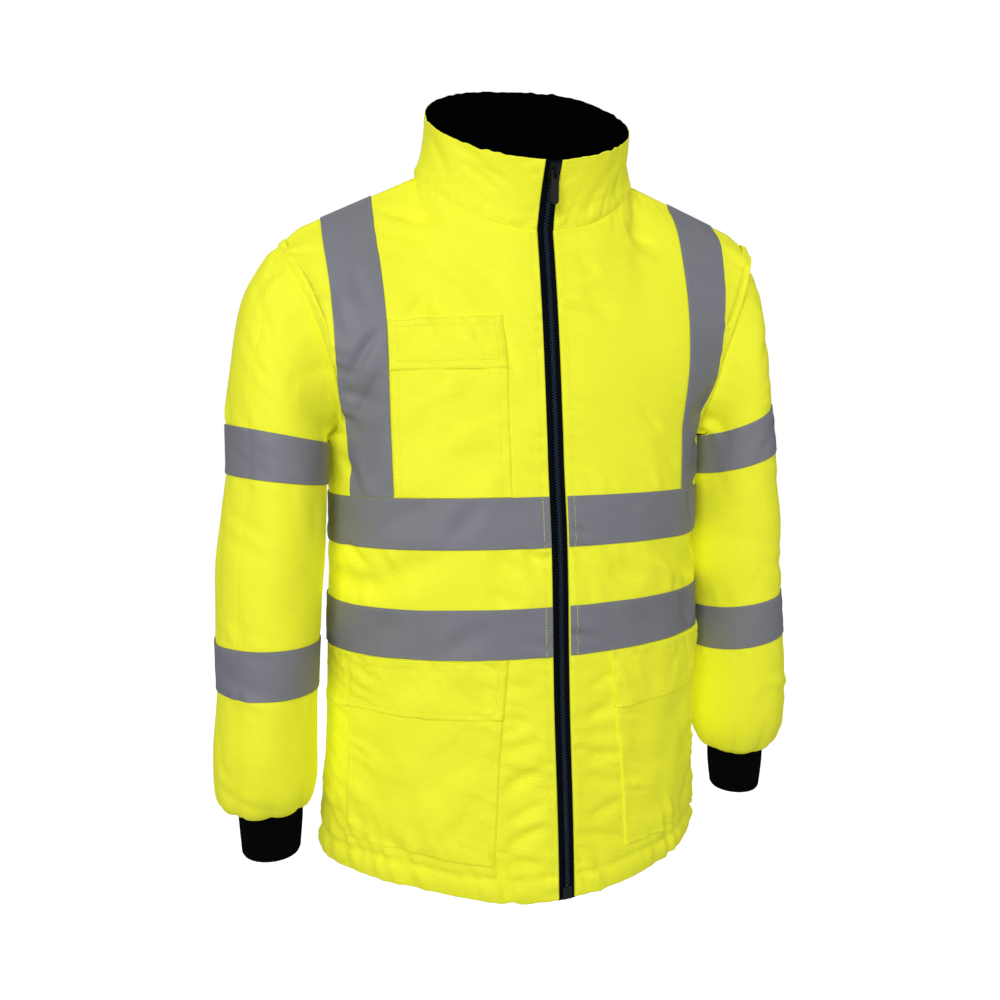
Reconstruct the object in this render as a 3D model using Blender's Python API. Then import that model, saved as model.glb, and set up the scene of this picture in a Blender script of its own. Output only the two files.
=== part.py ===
"""Hi-vis work jacket in its worn, hollow shape, zipped to the top.

The body is cut as two fronts and a back, with sleeves that start under the armhole edges, a
stand collar with a dark lining, rib cuffs, a full-length zip, reflective tapes and patch pockets.

Lengths in the tables are millimetres; the meshes are metres. +Z is up, the fronts face -Y and
the wearer's left is +X. The origin lies between the points where the shoulders meet the neck.
"""
import math
from collections import namedtuple

import bmesh
import bpy
import numpy as np
from mathutils import Matrix, Vector

MM = 0.001

# Walls and gaps
CLOTH = 2.0
TAPE = 1.0
RIB_KNIT = 2.4
LINING = 1.6
SEAM_GAP = 0.3
FLAT_GAP = 0.35

# Heights that several pieces share
HEM_Z = -731.0
BAND_WIDTH = 50.0
UPPER_BAND_Z = -348.0
LOWER_BAND_Z = -456.5
UNDERARM_Z = -266.0
YOKE_Z = -150.0
CHEST_FLAP_Z = -197.0
POCKET_BASE_Z = -693.0
POCKET_FLAP_Z = -543.0
FLAP_TO_SIDE = 14.0

ZIP_EDGE = 8.5
BAND_TO_ZIP = 1.0


def rows(columns, *values):
    """A short table: named columns, one row for each tuple."""
    row = namedtuple("Row", columns)
    return [row(*value) for value in values]


# Body sections, squared ellipses: half width at the side seam, depth in front of and behind the
# side seam, and the ellipse's exponent
BODY = rows("z half_width front back squareness",
            (HEM_Z, 223.5, 149.0, 131.0, 1.8),
            (-680.0, 222.0, 147.0, 129.0, 1.85),
            (-620.0, 217.5, 143.5, 125.0, 1.9),
            (-540.0, 215.0, 138.0, 121.0, 1.98),
            (LOWER_BAND_Z, 213.0, 134.0, 119.0, 2.08),
            (-400.0, 210.5, 131.0, 119.0, 2.18),
            (UPPER_BAND_Z, 209.0, 126.0, 121.0, 2.22),
            (-300.0, 210.0, 119.0, 124.0, 2.3),
            (UNDERARM_Z, 212.0, 115.5, 126.0, 2.3),
            (-200.0, 214.0, 106.0, 127.0, 2.3),
            (YOKE_Z, 216.0, 97.0, 121.0, 2.3),
            (-100.0, 218.0, 86.5, 106.0, 2.3),
            (-59.0, 220.0, 78.0, 94.0, 2.3),
            (30.0, 220.0, 60.0, 66.0, 2.3))

NECK_FRONT_Z = -59.0
NECK_BACK_Z = 30.0
NECK_SIDE = (120.0, -8.0, 6.0)
SHOULDER_TIP = (262.0, -38.0, -63.0)

# Armhole edges from the underarm to the shoulder tip
ARMHOLE_FRONT = rows("z x y",
                     (UNDERARM_Z, 212.0, 0.0),
                     (-262.0, 207.5, -26.0),
                     (-250.0, 204.0, -46.0),
                     (-228.0, 206.5, -61.0),
                     (-200.0, 212.5, -70.0),
                     (-175.0, 219.0, -75.0),
                     (YOKE_Z, 227.0, -77.0),
                     (-120.0, 238.0, -75.0),
                     (-95.0, 249.0, -66.0),
                     (-75.0, 258.0, -52.0),
                     (SHOULDER_TIP[2], SHOULDER_TIP[0], SHOULDER_TIP[1]))
ARMHOLE_BACK = rows("z x y",
                    (UNDERARM_Z, 212.0, 0.0),
                    (-262.0, 210.5, 27.0),
                    (-250.0, 209.5, 46.0),
                    (-228.0, 211.0, 62.0),
                    (-200.0, 215.5, 72.0),
                    (-175.0, 221.0, 75.0),
                    (YOKE_Z, 227.5, 71.0),
                    (-120.0, 237.0, 57.0),
                    (-95.0, 248.0, 31.0),
                    (-75.0, 258.0, -6.0),
                    (SHOULDER_TIP[2], SHOULDER_TIP[0], SHOULDER_TIP[1]))

# Lengthwise lines of each half: distance from the centre line at the hem, at the chest and,
# for the shoulder part, share of the way from the neck to the shoulder tip
COLUMNS = rows("name hem chest shoulder cells",
               ("zip", ZIP_EDGE, ZIP_EDGE, None, 0),
               ("pocket_in", 74.0, 47.0, None, 2),
               ("neck", 122.0, 112.0, 0.0, 2),
               ("brace_in", 178.0, 163.0, 0.33, 2),
               ("brace_out", 236.0, 213.0, 0.69, 2),
               ("side", None, None, 1.0, 2))

# Crosswise lines below the yoke, from the hem up
LEVELS = rows("name z cells",
              ("hem", HEM_Z, 0),
              ("pocket_base", POCKET_BASE_Z, 2),
              ("pocket_flap", POCKET_FLAP_Z, 4),
              ("lower_band", LOWER_BAND_Z - BAND_WIDTH / 2, 2),
              ("lower_band_top", LOWER_BAND_Z + BAND_WIDTH / 2, 2),
              ("upper_band", UPPER_BAND_Z - BAND_WIDTH / 2, 2),
              ("upper_band_top", UPPER_BAND_Z + BAND_WIDTH / 2, 2),
              ("underarm", UNDERARM_Z, 2),
              ("armpit", UNDERARM_Z + 9.0, 1),
              ("chest_flap", CHEST_FLAP_Z, 3),
              ("yoke", YOKE_Z, 2),
              ("top", None, 4))

# Sleeve sections from under the armhole edge to the cuff seam: outermost and innermost point, and
# how much the back of the section lies above its front; the left sleeve is narrower on the outside
SLEEVE = rows("name outer_x left_in outer_z inner_x inner_z centre_y half_depth back_rise cells",
              ("crown", 277.0, 7.0, -81.0, 214.0, -267.0, -10.0, 70.0, 0.0, 1),
              ("cap", 298.0, 19.0, -109.0, 214.0, -267.5, -13.0, 71.0, 0.0, 1),
              ("bicep", 304.0, 20.0, -160.0, 213.0, -268.0, -17.0, 71.5, 0.0, 1),
              ("high_band_top", 310.0, 18.0, -248.0, 213.0, -269.5, -21.0, 71.0, -2.0, 2),
              ("high_band", 311.0, 12.0, -299.0, 213.5, -312.0, -23.0, 71.0, -2.0, 2),
              ("elbow", 322.0, 10.5, -383.0, 216.0, -390.0, -25.0, 70.0, -4.0, 2),
              ("low_band_top", 324.0, 8.0, -465.0, 222.0, -468.0, -26.0, 68.0, -6.0, 2),
              ("low_band", 323.0, 0.5, -513.0, 223.5, -517.0, -27.0, 67.0, -6.0, 2),
              ("forearm", 328.0, -3.0, -578.0, 225.5, -580.0, -27.0, 65.0, -4.0, 2),
              ("gather", 328.0, -5.0, -616.0, 227.0, -616.0, -26.0, 58.0, -2.0, 1),
              ("fold", 323.0, -2.0, -636.0, 234.5, -636.0, -25.0, 45.0, 0.0, 1),
              ("cuff_seam", 310.5, 0.0, -642.0, 243.0, -642.0, -24.0, 33.5, 0.0, 1))
SLEEVE_AROUND = 30
FRONT_SEAM, BACK_SEAM = 4, 19
ARC_PER_DEGREE = 1.1
SLEEVE_START = 9.0
LIP_STEP = 4.5
LIP_CROWN = 4.0
GATHERS = 10
GATHER_DEPTH = 2.6

# How each arm hangs: its outside drawn up in the middle, its lower half and its end moved
# outwards, and its end hanging lower; the moves grow between shares of the way down
HANG = {"left": rows("outer_rise out end_out end_drop", (20.0, -4.5, 0.5, 6.0))[0],
        "right": rows("outer_rise out end_out end_drop", (0.0, 4.5, 2.0, 0.0))[0]}
OUT_START, OUT_FULL = 0.25, 0.7
END_START = 0.8

# Rib cuff sections
CUFF = rows("outer_x inner_x z half_depth",
            (308.5, 244.0, -642.5, 31.5),
            (307.5, 245.0, -660.0, 31.0),
            (305.5, 248.0, -693.0, 28.5))
CUFF_RIBS = 32
RIB_HEIGHT = 0.8

# Collar rim: an ellipse that rises towards the back, a little more on the wearer's left
RIM = rows("half_width centre_y half_depth front_z back_z",
           (111.5, -21.0, 75.0, 5.0, 117.0))[0]
RIM_LIFT = 6.0
COLLAR_CELLS = 4
COLLAR_FLARE = 2.5
LINING_STEP = 3.0
COLLAR_EDGE_STEP = 0.5
COLLAR_RAISE = 1.3
LINING_GAP = 0.6

# Largest folds: from one place to another (distance from the centre line, height), how wide and
# how deep; a negative depth is a ridge
FOLDS = {
    "front_right": rows("s0 z0 s1 z1 half_width depth",
                        (-250.0, -180.0, -165.0, -235.0, 15.0, 4.0),
                        (-262.0, -400.0, -160.0, -418.0, 14.0, 3.0),
                        (-150.0, -590.0, -95.0, -715.0, 22.0, -3.0),
                        (-60.0, -560.0, -30.0, -640.0, 16.0, 3.0)),
    "front_left": rows("s0 z0 s1 z1 half_width depth",
                       (290.0, -368.0, 175.0, -392.0, 18.0, 7.0),
                       (240.0, -215.0, 165.0, -250.0, 16.0, 4.5),
                       (150.0, -590.0, 110.0, -720.0, 22.0, -3.0),
                       (45.0, -395.0, 95.0, -412.0, 14.0, 2.5)),
    "back": rows("s0 z0 s1 z1 half_width depth",
                 (-230.0, -215.0, -140.0, -255.0, 18.0, 4.5),
                 (230.0, -210.0, 140.0, -262.0, 18.0, 4.0),
                 (-260.0, -400.0, -120.0, -412.0, 16.0, 3.5),
                 (265.0, -395.0, 130.0, -416.0, 16.0, 4.0),
                 (-60.0, -560.0, -80.0, -720.0, 24.0, -3.0),
                 (70.0, -550.0, 95.0, -720.0, 24.0, -3.5)),
}

# Sleeve folds: distance from the outermost line, positive to the front, and height
SLEEVE_FOLDS = rows("s0 z0 s1 z1 half_width depth",
                    (28.0, -140.0, 105.0, -190.0, 14.0, 3.5),
                    (66.0, -395.0, 165.0, -372.0, 16.0, 4.5),
                    (-66.0, -380.0, -165.0, -400.0, 16.0, 4.0),
                    (22.0, -560.0, 120.0, -575.0, 15.0, 3.0),
                    (-33.0, -170.0, -110.0, -210.0, 14.0, 3.5))

# The worn jacket isn't quite even: the neck leans to the wearer's left, that shoulder sits a
# little higher, and the hem is turned, drawn over to the right and a little lifted there
NECK_LEAN = 5.0
SHOULDER_TILT = 0.045
HEM_TURN = math.radians(2.2)
HEM_SHIFT = -3.0
HEM_LIFT = 22.0
HEM_LIFT_START, HEM_LIFT_FULL = 20.0, 200.0
TILT_LOW, TILT_HIGH = -326.0, -90.0
LEAN_TOP = 10.0

# Zip: tapes behind the front edges, a chain of teeth on them, and its metal parts
ZIP_TAPE_GAP = 0.8
ZIP_TAPE_REACH = ZIP_EDGE - ZIP_TAPE_GAP
ZIP_TAPE_INNER = 0.25
ZIP_TAPE_DEPTH = 1.2
CHAIN_HALF = 3.0
CHAIN_HEIGHT = 2.0
CHAIN_FACE = CHAIN_HEIGHT + SEAM_GAP - ZIP_TAPE_DEPTH
CHAIN_TOP = 4.0
BOX_LENGTH = 13.0
BOX_HALF = 5.0
BOX_FACE = 1.2
BOX_RISE = 0.8
BOX_ROUND = 0.8
SLIDER_LENGTH = 15.0
SLIDER_HALF = 5.3
SLIDER_DROP = 9.5
PLATE_THICKNESS = 1.8
FLANGE_THICKNESS = 1.2
PLATE_ROUND = 0.7
BRIDGE_HOLE = 1.7
BRIDGE_WALL = 1.4
BRIDGE_HALF = 1.2
BRIDGE_ROUND = 1.0
BRIDGE_ROOT = 0.5
PULL_HALF = 3.9
PULL_LENGTH = 32.0
PULL_THICKNESS = 1.6
PULL_ROUND = 1.0
WINDOW_HALF = 2.1
WINDOW_LENGTH = 8.0

SAMPLES = 160

# Surface finishes: colour, roughness, metallic
YELLOW = ("fluorescent_polyester", (0.86, 0.90, 0.05), 0.75, 0.0)
SILVER = ("reflective_tape", (0.21, 0.21, 0.23), 0.45, 0.0)
BLACK_KNIT = ("black_rib_knit", (0.010, 0.010, 0.016), 0.95, 0.0)
BLACK_FLEECE = ("black_fleece", (0.008, 0.008, 0.012), 0.95, 0.0)
NAVY_TAPE = ("navy_zip_tape", (0.010, 0.020, 0.045), 0.9, 0.0)
NAVY_PLASTIC = ("navy_zip_plastic", (0.012, 0.035, 0.080), 0.35, 0.0)
BLACK_METAL = ("black_lacquered_metal", (0.02, 0.02, 0.02), 0.35, 1.0)


# ---------------------------------------------------------------- curves

def smooth_curve(keys, values, at):
    """Cubic curve through the values, with tangents from the neighbouring points."""
    keys = np.asarray(keys, float)
    values = np.asarray(values, float)
    slopes = np.gradient(values, keys, axis=0)
    at = np.clip(np.asarray(at, float), keys[0], keys[-1])
    cell = np.clip(np.searchsorted(keys, at, side="right") - 1, 0, len(keys) - 2)
    width = keys[cell + 1] - keys[cell]
    t = (at - keys[cell]) / width
    if values.ndim > 1:
        t = t[..., None]
        width = width[..., None]
    h00 = 2 * t ** 3 - 3 * t ** 2 + 1
    h10 = t ** 3 - 2 * t ** 2 + t
    h01 = 3 * t ** 2 - 2 * t ** 3
    h11 = t ** 3 - t ** 2
    return (h00 * values[cell] + h10 * width * slopes[cell]
            + h01 * values[cell + 1] + h11 * width * slopes[cell + 1])


def column_of(table, name):
    """One named column of a table as an array."""
    return np.array([getattr(row, name) for row in table], float)


def body_size(name, z):
    """A body size at one height."""
    return smooth_curve(column_of(BODY, "z"), column_of(BODY, name), z)


def along(points, shares):
    """Points at given shares of a polyline's length."""
    points = np.asarray(points, float)
    steps = np.linalg.norm(np.diff(points, axis=0), axis=1)
    length = np.concatenate([[0.0], np.cumsum(steps)])
    wanted = np.asarray(shares, float) * length[-1]
    return np.stack([np.interp(wanted, length, points[:, axis]) for axis in range(3)], axis=-1)


def length_of(points):
    """Length of a polyline."""
    return float(np.linalg.norm(np.diff(points, axis=0), axis=1).sum())


def ease(value, low, high):
    """Smooth step from 0 at low to 1 at high."""
    t = np.clip((value - low) / (high - low), 0.0, 1.0)
    return t * t * (3 - 2 * t)


def worn(points, with_hem=True):
    """The lean and turn of the worn body, the same for every piece on it; sleeves miss the hem's."""
    points = np.array(points, float)
    x, y, z = (points[..., axis].copy() for axis in range(3))
    lean = NECK_LEAN / 2 * (ease(z, UNDERARM_Z, NECK_FRONT_Z) + ease(z, NECK_FRONT_Z, LEAN_TOP))
    low = (1.0 - ease(z, HEM_Z, LOWER_BAND_Z)) * with_hem
    turn = HEM_TURN * low
    points[..., 0] = x * np.cos(turn) - y * np.sin(turn) + lean + HEM_SHIFT * low
    points[..., 1] = x * np.sin(turn) + y * np.cos(turn)
    lifted = SHOULDER_TILT * x * ease(z, TILT_LOW, TILT_HIGH)
    points[..., 2] = z + lifted + HEM_LIFT * low * ease(-x, HEM_LIFT_START, HEM_LIFT_FULL)
    return points


# ---------------------------------------------------------------- panel surfaces

def edge_point(table, z):
    """Where a panel ends at one height: the side seam or the armhole edge."""
    if z <= UNDERARM_Z:
        return float(body_size("half_width", z)), 0.0
    point = smooth_curve(column_of(table, "z"), np.stack([column_of(table, "x"),
                                                          column_of(table, "y")], axis=1), z)
    return float(point[0]), abs(float(point[1]))


def section(side, z):
    """Half a section, from the centre line to the panel's edge, as a dense polyline."""
    table, name, sign = (ARMHOLE_FRONT, "front", -1.0) if side == "front" else (ARMHOLE_BACK, "back", 1.0)
    depth = float(body_size(name, z))
    edge_x, edge_y = edge_point(table, z)
    power = float(body_size("squareness", z))
    share = (edge_y / depth) ** power
    half_width = edge_x / (1 - share) ** (1 / power)
    end = math.acos((edge_y / depth) ** (power / 2))
    angle = np.linspace(0.0, end, SAMPLES)
    x = half_width * np.sin(angle) ** (2 / power)
    y = sign * depth * np.cos(angle) ** (2 / power)
    return np.stack([x, y, np.full(SAMPLES, z)], axis=1)


def column_shares(side, z):
    """Share of the section's length at which each lengthwise line crosses it."""
    total = length_of(section(side, z))
    blend = ease(z, HEM_Z, UPPER_BAND_Z)
    knots = []
    for row in COLUMNS[:-1]:
        knots.append((row.hem + (row.chest - row.hem) * blend) / total)
    first = 0.0 if side == "back" else knots[0]
    return spread([first] + knots[1:] + [1.0], [row.cells for row in COLUMNS])


def spread(knots, cells):
    """Even subdivision between knots, with the given number of cells before each knot."""
    values = [knots[0]]
    for start, stop, count in zip(knots, knots[1:], cells[1:]):
        values.extend(np.linspace(start, stop, count + 1)[1:])
    return np.array(values)


def neckline(side):
    """Neck edge from the centre line to the shoulder seam."""
    start_z, sign = (NECK_FRONT_Z, -1.0) if side == "front" else (NECK_BACK_Z, 1.0)
    depth = float(body_size(side, start_z))
    angle = np.linspace(0.0, math.pi / 2, SAMPLES)
    y = NECK_SIDE[1] + (sign * depth - NECK_SIDE[1]) * np.cos(angle)
    z = NECK_SIDE[2] + (start_z - NECK_SIDE[2]) * np.cos(angle) ** 1.5
    return np.stack([NECK_SIDE[0] * np.sin(angle), y, z], axis=1)


def top_edge(side):
    """The panel's top: the neck edge, then the shoulder seam, at the lengthwise lines."""
    neck_cells = sum(row.cells for row in COLUMNS[1:3])
    neck = neckline(side)
    start = 0.0 if side == "back" else ZIP_EDGE / length_of(neck)
    neck_points = along(neck, np.linspace(start, 1.0, neck_cells + 1))
    shares = spread([row.shoulder for row in COLUMNS[2:]], [row.cells for row in COLUMNS[2:]])
    start_point = np.array(NECK_SIDE)
    run = np.array(SHOULDER_TIP) - start_point
    shoulder = np.stack([start_point + run * share for share in shares])
    return np.concatenate([neck_points, shoulder[1:]])


def yoke_patch(side, base):
    """The part above the yoke line, blended between its four edges."""
    table = ARMHOLE_FRONT if side == "front" else ARMHOLE_BACK
    cells = LEVELS[-1].cells
    top = top_edge(side)
    z = np.linspace(YOKE_Z, top[0, 2], SAMPLES)
    sign = -1.0 if side == "front" else 1.0
    centre = np.stack([np.full(SAMPLES, base[0, 0]), sign * body_size(side, z), z], axis=1)
    centre[:, 0] = np.linspace(base[0, 0], top[0, 0], SAMPLES)
    centre[:, 1] += np.linspace(base[0, 1] - centre[0, 1], top[0, 1] - centre[-1, 1], SAMPLES)
    z = np.linspace(YOKE_Z, SHOULDER_TIP[2], SAMPLES)
    arm = np.stack([smooth_curve(column_of(table, "z"), column_of(table, "x"), z),
                    smooth_curve(column_of(table, "z"), column_of(table, "y"), z), z], axis=1)
    v = np.linspace(0.0, 1.0, cells + 1)
    left = along(centre, v)
    right = along(arm, v)
    u = 0.5 * (lengths(base) + lengths(top))
    grid = np.zeros((len(base), cells + 1, 3))
    for i in range(len(base)):
        for j in range(cells + 1):
            ruled_v = (1 - v[j]) * base[i] + v[j] * top[i]
            ruled_u = (1 - u[i]) * left[j] + u[i] * right[j]
            corners = ((1 - u[i]) * ((1 - v[j]) * base[0] + v[j] * top[0])
                       + u[i] * ((1 - v[j]) * base[-1] + v[j] * top[-1]))
            grid[i, j] = ruled_v + ruled_u - corners
    return grid


def lengths(points):
    """Running share of a polyline's length at each of its points."""
    steps = np.linalg.norm(np.diff(points, axis=0), axis=1)
    run = np.concatenate([[0.0], np.cumsum(steps)])
    return run / run[-1]


def level_heights():
    """Heights of the crosswise lines from the hem to the yoke."""
    knots = [row.z for row in LEVELS[:-1]]
    return spread(knots, [row.cells for row in LEVELS[:-1]])


def level_index(name):
    """Row of the panel grid at a named crosswise line."""
    count = 0
    for row in LEVELS:
        count += row.cells
        if row.name == name:
            return count
    raise KeyError(name)


def column_index(name):
    """Column of a half panel at a named lengthwise line."""
    count = 0
    for row in COLUMNS:
        count += row.cells
        if row.name == name:
            return count
    raise KeyError(name)


def half_panel(side):
    """Grid of one half panel: [lengthwise line, crosswise line, xyz]."""
    heights = level_heights()
    lower = [along(section(side, z), column_shares(side, z)) for z in heights]
    lower = np.stack(lower, axis=1)
    upper = yoke_patch(side, lower[:, -1])
    grid = np.concatenate([lower, upper[:, 1:]], axis=1)
    return relax_yoke(grid)


def relax_yoke(grid):
    """Evens the lengthwise lines where the yoke meets the chest; the edges stay."""
    yoke = level_index("yoke")
    for _ in range(3):
        before = grid.copy()
        for j in range(yoke - 1, yoke + 3):
            grid[1:-1, j] = 0.5 * before[1:-1, j] + 0.25 * (before[1:-1, j - 1] + before[1:-1, j + 1])
    return grid


def run_from(grid):
    """Length run along a grid's lines from its first one."""
    steps = np.linalg.norm(np.diff(grid, axis=0), axis=2)
    return np.concatenate([np.zeros((1, grid.shape[1])), np.cumsum(steps, axis=0)])


def fold_depth(folds, s, z):
    """Depth of the folds at a place on a panel."""
    depth = np.zeros_like(s)
    for fold in folds:
        run = np.array([fold[2] - fold[0], fold[3] - fold[1]])
        length = np.linalg.norm(run)
        run = run / length
        ds = s - fold[0]
        dz = z - fold[1]
        t = (ds * run[0] + dz * run[1]) / length
        across = ds * run[1] - dz * run[0]
        taper = np.clip(1 - np.abs(2 * t - 1) ** 3, 0.0, None) * ((t > 0) & (t < 1))
        depth += fold.depth * taper * np.exp(-(across / fold.half_width) ** 2)
    return depth


def grid_normals(grid, closed=False):
    """Outward unit normals of a grid whose first index runs round the body from front to back."""
    if closed:
        du = np.roll(grid, -1, axis=0) - np.roll(grid, 1, axis=0)
    else:
        du = np.gradient(grid, axis=0)
    dv = np.gradient(grid, axis=1)
    normals = np.cross(du, dv)
    size = np.linalg.norm(normals, axis=2, keepdims=True)
    return normals / np.where(size > 0, size, 1.0)


class Panel:
    """A panel's outer grid and its normals."""

    def __init__(self, grid, normals):
        self.grid = grid
        self.normals = normals

    def folded(self, folds, centre):
        """The panel with its largest folds pressed in; its free edges stay in place."""
        right = run_from(self.grid[centre:])
        left = run_from(self.grid[centre::-1])
        s = np.concatenate([left[:0:-1], right])
        depth = fold_depth(folds, s * np.sign(self.grid[..., 0]), self.grid[..., 2])
        count_u, count_v = depth.shape
        inset_u = np.minimum(np.arange(count_u), np.arange(count_u)[::-1])
        inset_v = np.arange(count_v)[::-1]
        depth *= ease(inset_u, 0, 1.5)[:, None] * ease(inset_v, 0, 1.5)[None, :]
        return Panel(self.grid - self.normals * depth[..., None], self.normals)

    def part(self, columns, levels, lift=0.0, trim=(0, 0, 0, 0)):
        """A piece of the panel, moved out; trim shortens its edges (u start, u end, v start, v end)."""
        grid = (self.grid + self.normals * lift)[columns, levels].copy()
        normals = self.normals[columns, levels]
        for axis, (start, end) in enumerate((trim[:2], trim[2:])):
            lines = np.swapaxes(grid, 0, axis)
            for amount, edge, inner in ((start, 0, 1), (end, -1, -2)):
                step = lines[inner] - lines[edge]
                lines[edge] += amount * step / np.linalg.norm(step, axis=-1, keepdims=True)
        return Panel(grid, normals)


def share_seam(first, second):
    """Gives two meeting edges one set of normals."""
    mean = first + second
    mean = mean / np.linalg.norm(mean, axis=-1, keepdims=True)
    first[:] = mean
    second[:] = mean


def body_panels():
    """The wearer's left front, right front and the back, with their folds."""
    flip = np.array([-1.0, 1.0, 1.0])
    front = half_panel("front")
    rear = half_panel("back")
    left = worn(front)
    right = worn(front[::-1] * flip)
    back = worn(np.concatenate([rear[::-1], rear[1:] * flip]))
    left_normals, right_normals = grid_normals(left), grid_normals(right)
    back_normals = grid_normals(back)
    side = column_index("side")
    neck = column_index("neck")
    underarm = level_index("underarm")
    share_seam(left_normals[side, :underarm + 1], back_normals[0, :underarm + 1])
    share_seam(right_normals[0, :underarm + 1], back_normals[-1, :underarm + 1])
    share_seam(left_normals[neck:, -1][::-1], back_normals[:side - neck + 1, -1])
    share_seam(right_normals[:side - neck + 1, -1], back_normals[side + neck:, -1][::-1])
    return (Panel(left, left_normals).folded(FOLDS["front_left"], 0),
            Panel(right, right_normals).folded(FOLDS["front_right"], len(right) - 1),
            Panel(back, back_normals).folded(FOLDS["back"], side))


# ---------------------------------------------------------------- meshes

def finish_material(finish):
    """A Principled material for a finish."""
    name, colour, roughness, metallic = finish
    material = bpy.data.materials.get(name)
    if material:
        return material
    material = bpy.data.materials.new(name)
    material.use_nodes = True
    shader = material.node_tree.nodes["Principled BSDF"]
    shader.inputs["Base Color"].default_value = (*colour, 1.0)
    shader.inputs["Roughness"].default_value = roughness
    shader.inputs["Metallic"].default_value = metallic
    return material


def add_object(name, mesh_data, finish):
    """Turns a bmesh into a named object with its material, faces pointing out."""
    bmesh.ops.recalc_face_normals(mesh_data, faces=mesh_data.faces)
    mesh = bpy.data.meshes.new(name)
    mesh_data.to_mesh(mesh)
    mesh_data.free()
    mesh.shade_smooth()
    mesh.set_sharp_from_angle(angle=math.radians(50))
    piece = bpy.data.objects.new(name, mesh)
    mesh.materials.append(finish_material(finish))
    bpy.context.scene.collection.objects.link(piece)
    return piece


def wall(name, panel, thickness, finish, closed=False):
    """A cloth wall: the panel's grid outside, the same grid moved in by the thickness inside."""
    outer = panel.grid * MM
    inner = (panel.grid - panel.normals * thickness) * MM
    bm = bmesh.new()
    skins = [[[bm.verts.new(point) for point in line] for line in skin] for skin in (outer, inner)]
    count_u, count_v = outer.shape[:2]
    around = range(count_u if closed else count_u - 1)
    for i in around:
        k = (i + 1) % count_u
        for j in range(count_v - 1):
            for skin, step in zip(skins, (1, -1)):
                loop = (skin[i][j], skin[k][j], skin[k][j + 1], skin[i][j + 1])
                bm.faces.new(loop[::step])
        for j in (0, count_v - 1):
            bm.faces.new((skins[0][i][j], skins[0][k][j], skins[1][k][j], skins[1][i][j]))
    if not closed:
        for i in (0, count_u - 1):
            for j in range(count_v - 1):
                bm.faces.new((skins[0][i][j], skins[0][i][j + 1], skins[1][i][j + 1], skins[1][i][j]))
    bmesh.ops.triangulate(bm, faces=bm.faces, quad_method="SHORT_EDGE")
    return add_object(name, bm, finish)


def cut(start, stop):
    """Slice between two named lines, both kept."""
    return slice(start, stop + 1)


# ---------------------------------------------------------------- body pieces

def build_body(left, right, back):
    """The two fronts and the back."""
    half = SEAM_GAP / 2
    everything = slice(None)
    wall("front_left", left.part(everything, everything, trim=(0, half, 0, half)), CLOTH, YELLOW)
    wall("front_right", right.part(everything, everything, trim=(half, 0, 0, half)), CLOTH, YELLOW)
    wall("back", back.part(everything, everything, trim=(half, half, 0, half)), CLOTH, YELLOW)


def build_bands(left, right, back):
    """Two reflective tapes round the body, each in three lengths."""
    half = SEAM_GAP / 2
    for label, low, high in (("upper", "upper_band", "upper_band_top"),
                             ("lower", "lower_band", "lower_band_top")):
        levels = cut(level_index(low), level_index(high))
        for side, panel, trim in (("front_left", left, (BAND_TO_ZIP, half)),
                                  ("front_right", right, (half, BAND_TO_ZIP)),
                                  ("back", back, (half, half))):
            strip = panel.part(slice(None), levels, FLAT_GAP + TAPE, (*trim, 0, 0))
            wall(f"{label}_band_{side}", strip, TAPE, SILVER)


def build_braces(left, right, back):
    """Two reflective tapes over the shoulders, each with a front and a back length."""
    half = SEAM_GAP / 2
    inner, outer = column_index("brace_in"), column_index("brace_out")
    levels = cut(level_index("upper_band_top"), level_index("top"))
    middle = column_index("side")
    places = (("front_left", left, cut(inner, outer)),
              ("front_right", right, cut(middle - outer, middle - inner)),
              ("back_left", back, cut(back_column(-outer), back_column(-inner))),
              ("back_right", back, cut(back_column(inner), back_column(outer))))
    for side, panel, columns in places:
        strip = panel.part(columns, levels, FLAT_GAP + TAPE, (0, 0, SEAM_GAP, half))
        wall(f"brace_{side}", strip, TAPE, SILVER)


def back_column(offset):
    """Column of the back panel, counted from the centre back; negative is the wearer's left."""
    return column_index("side") + offset


def build_pockets(left, right):
    """Chest pocket and lower pockets with flaps; the lower flaps run on nearly to the side seams."""
    side = column_index("side")
    inner, outer = column_index("pocket_in"), column_index("brace_out")
    chest = cut(side - column_index("brace_in"), side - inner)
    bag_lift = FLAT_GAP + CLOTH
    flap_lift = bag_lift + FLAT_GAP + CLOTH
    hip = ("pocket_base", "pocket_flap", "lower_band")
    places = (("chest_pocket", right, chest, chest, ("upper_band_top", "chest_flap", "yoke"),
               (SEAM_GAP, 0), (SEAM_GAP, 0)),
              ("hip_pocket_left", left, cut(inner, outer), cut(inner, side), hip,
               (0, 0), (0, FLAP_TO_SIDE)),
              ("hip_pocket_right", right, cut(side - outer, side - inner), cut(0, side - inner), hip,
               (0, 0), (FLAP_TO_SIDE, 0)))
    for name, panel, bag_columns, lid_columns, (base, flap, top), bag_trim, lid_trim in places:
        bag_levels = cut(level_index(base), level_index(flap) + 1)
        wall(name, panel.part(bag_columns, bag_levels, bag_lift, (*bag_trim, SEAM_GAP, 0)), CLOTH, YELLOW)
        lid_levels = cut(level_index(flap), level_index(top))
        lid = panel.part(lid_columns, lid_levels, flap_lift, (*lid_trim, 0, SEAM_GAP))
        wall(f"{name}_flap", lid, CLOTH, YELLOW)


# ---------------------------------------------------------------- collar

def collar_base(left, right, back):
    """Neck seam from the wearer's right front edge round the back to the left one."""
    neck = column_index("neck")
    side = column_index("side")
    right_part = right.grid[side - neck:, -1][::-1]
    back_part = back.grid[:, -1][back_column(-neck):back_column(neck) + 1][::-1]
    left_part = left.grid[:neck + 1, -1]
    return np.concatenate([right_part, back_part[1:-1], left_part[::-1]])


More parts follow.
